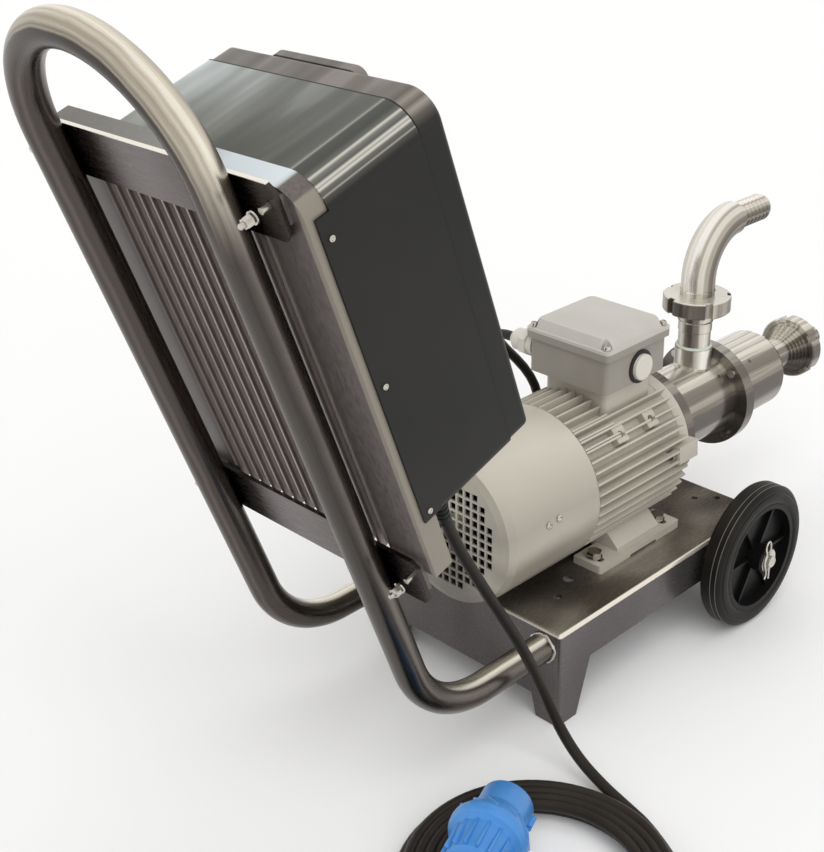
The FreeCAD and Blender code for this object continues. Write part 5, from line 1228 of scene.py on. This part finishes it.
# %% Mains lead
CABLE_RADIUS = 0.005
COIL_CENTRE = Vector((-0.2731, -0.2314))
LEAD_ROUTE = [
    (-0.2609, -0.110, 0.3067), (-0.2452, -0.110, 0.2635), (-0.2197, -0.113, 0.216),
    (-0.1927, -0.116, 0.168),
    (-0.1677, -0.121, 0.122), (-0.1512, -0.129, 0.078), (-0.1452, -0.143, 0.042), (-0.1449, -0.166, 0.0185),
    (-0.1487, -0.197, 0.0085), (-0.1535, -0.226, 0.0058),
]
POINTS_PER_TURN = 12
COIL_STEPS = 88
FIRST_ANGLE = math.radians(-12.0)
TURN_RADII = [
    (0, 0.1155), (1, 0.1155), (1.3, 0.104), (2, 0.1035), (2.3, 0.0935), (3, 0.0925), (3.5, 0.084),
    (4, 0.0845),
    (4.3, 0.092), (5, 0.0925), (5.3, 0.100), (6, 0.1005), (6.3, 0.108), (7.4, 0.109),
]
TURN_HEIGHTS = [(0, 0.0052), (3.4, 0.0052), (3.65, 0.0156), (7.4, 0.0156)]


def along(stops, value):
    """Straight-line value between (position, value) stops."""
    for (first, low), (last, high) in zip(stops, stops[1:]):
        if value <= last:
            return low + (high - low) * (value - first) / (last - first)
    return stops[-1][1]


def coil_points():
    """Control points of the turns, by the size and height of each part of a turn."""
    points = []
    for i in range(COIL_STEPS + 1):
        turned = i / POINTS_PER_TURN
        angle = FIRST_ANGLE - 2 * math.pi * turned
        radius = along(TURN_RADII, turned)
        x = COIL_CENTRE.x + radius * math.cos(angle)
        y = COIL_CENTRE.y + radius * math.sin(angle)
        points.append((x, y, along(TURN_HEIGHTS, turned)))
    return points


def add_cable(name, points, radius):
    """A round cable along a NURBS spline through its control points."""
    curve = bpy.data.curves.new(name, "CURVE")
    curve.dimensions = "3D"
    spline = curve.splines.new("NURBS")
    spline.points.add(len(points) - 1)
    for point, position in zip(spline.points, points):
        point.co = (*position, 1)
    spline.order_u = 3
    spline.use_endpoint_u = True
    spline.resolution_u = 6
    curve.bevel_depth = radius
    curve.bevel_resolution = 4
    curve.use_fill_caps = True
    piece = bpy.data.objects.new(name, curve)
    bpy.context.scene.collection.objects.link(piece)
    return piece


LEAD_END = [
    (-0.3756, -0.2910, 0.0235), (-0.3847, -0.2590, 0.0340), (-0.3707, -0.2246, 0.0410),
    (-0.3511, -0.2171, 0.0420),
]
lead = add_cable("mains_lead", LEAD_ROUTE + coil_points() + LEAD_END, CABLE_RADIUS)
fit(lead, "chassis", cable_rubber, ("mains_cord", "cord_coil"))

# %% [markdown]
# ## Strain relief
# Where the lead leaves its gland a tapered rubber sleeve keeps it from kinking.
# Grooves around the sleeve let it bend: they are steps in its turned profile.

# %% Strain relief
SLEEVE_START = Vector(LEAD_ROUTE[0])
SLEEVE_AXIS = Vector(LEAD_ROUTE[1]) - SLEEVE_START
sleeve_profile = [(-2.0, 6.9), (0, 6.9)]
for i in range(6):
    low = 2.0 + 4.5 * i
    outer = 7.0 - 0.28 * i
    sleeve_profile += [(low, outer), (low + 2.4, outer - 0.1)]
    sleeve_profile += [(low + 2.9, outer - 0.9), (low + 4.0, outer - 1.0)]
sleeve_profile += [(31.0, 5.4), (31.0, 5.02), (-2.0, 5.02)]
sleeve = add_turned("lead_sleeve", sleeve_profile, 32, closed=True)
place(sleeve, facing(SLEEVE_START, SLEEVE_AXIS))
fit(sleeve, "chassis", gland_plastic, smooth=35)

# %% [markdown]
# ## The motor cable
# A second cable goes from the inverter to the terminal box. It hangs from its
# gland, passes along the far side of the motor, and comes up behind the box.

# %% Motor cable
MOTOR_CABLE_ROUTE = [
    (-0.2374, 0.020, 0.3153), (-0.2073, 0.020, 0.2326), (-0.1567, 0.070, 0.168), (-0.0667, 0.104, 0.138),
    (0.0153, 0.104, 0.136), (0.0983, 0.104, 0.140), (0.1053, 0.090, 0.212), (0.0408, 0.122, 0.290),
    (0.0408, 0.076, 0.290),
]
motor_lead = add_cable("motor_lead", MOTOR_CABLE_ROUTE, CABLE_RADIUS)
fit(motor_lead, "chassis", cable_rubber, ("motor_cable",))

# %% [markdown]
# ## Floor and light
# The photograph's background is plain white. The floor is pale and takes the
# machine's shadow, and the world is white only for rays that come from the
# camera, from glossy surfaces or through glass. Three far lamps with wide discs
# light it softly and evenly, and stay out of glossy rays, so they leave the painted
# reflection stripes on the steel as they are.

# %% Floor and lamps
bpy.ops.mesh.primitive_plane_add(size=12, location=(0, 0, -0.0005))
floor = bpy.context.object
floor.name = "studio_floor"
finish = Finish("studio_floor")
finish.shader.inputs["Base Color"].default_value = (0.94, 0.94, 0.94, 1)
finish.shader.inputs["Roughness"].default_value = 0.7
floor.data.materials.append(finish.material)

world = bpy.data.worlds.new("studio")
bpy.context.scene.world = world
world.use_nodes = True
nodes = world.node_tree.nodes
links = world.node_tree.links
background = nodes["Background"]
background.inputs["Color"].default_value = (1.0, 0.99, 0.97, 1)
path = nodes.new("ShaderNodeLightPath")
shown = path.outputs["Is Camera Ray"]
for ray in ("Is Glossy Ray", "Is Transmission Ray"):
    larger = nodes.new("ShaderNodeMath")
    larger.operation = "MAXIMUM"
    links.new(shown, larger.inputs[0])
    links.new(path.outputs[ray], larger.inputs[1])
    shown = larger.outputs[0]
strength = nodes.new("ShaderNodeMapRange")
strength.inputs["To Min"].default_value = 0.42
strength.inputs["To Max"].default_value = 1.0
links.new(shown, strength.inputs["Value"])
links.new(strength.outputs[0], background.inputs["Strength"])


def add_lamp(name, direction, power, spread):
    """Far soft light from a direction: every part of the floor gets the same."""
    bpy.ops.object.light_add(type="SUN", location=Vector(direction))
    lamp = bpy.context.object
    lamp.name = name
    lamp.rotation_euler = (-Vector(direction)).to_track_quat("-Z", "Y").to_euler()
    lamp.data.energy = power
    lamp.data.angle = math.radians(spread)
    lamp.visible_glossy = False


add_lamp("key_lamp", (-0.9, -1.6, 1.9), 1.6, 60)
add_lamp("top_lamp", (0.3, 0.2, 2.2), 0.7, 70)
add_lamp("rear_lamp", (-2.0, 1.0, 1.2), 0.4, 60)
print("lamps and floor set")
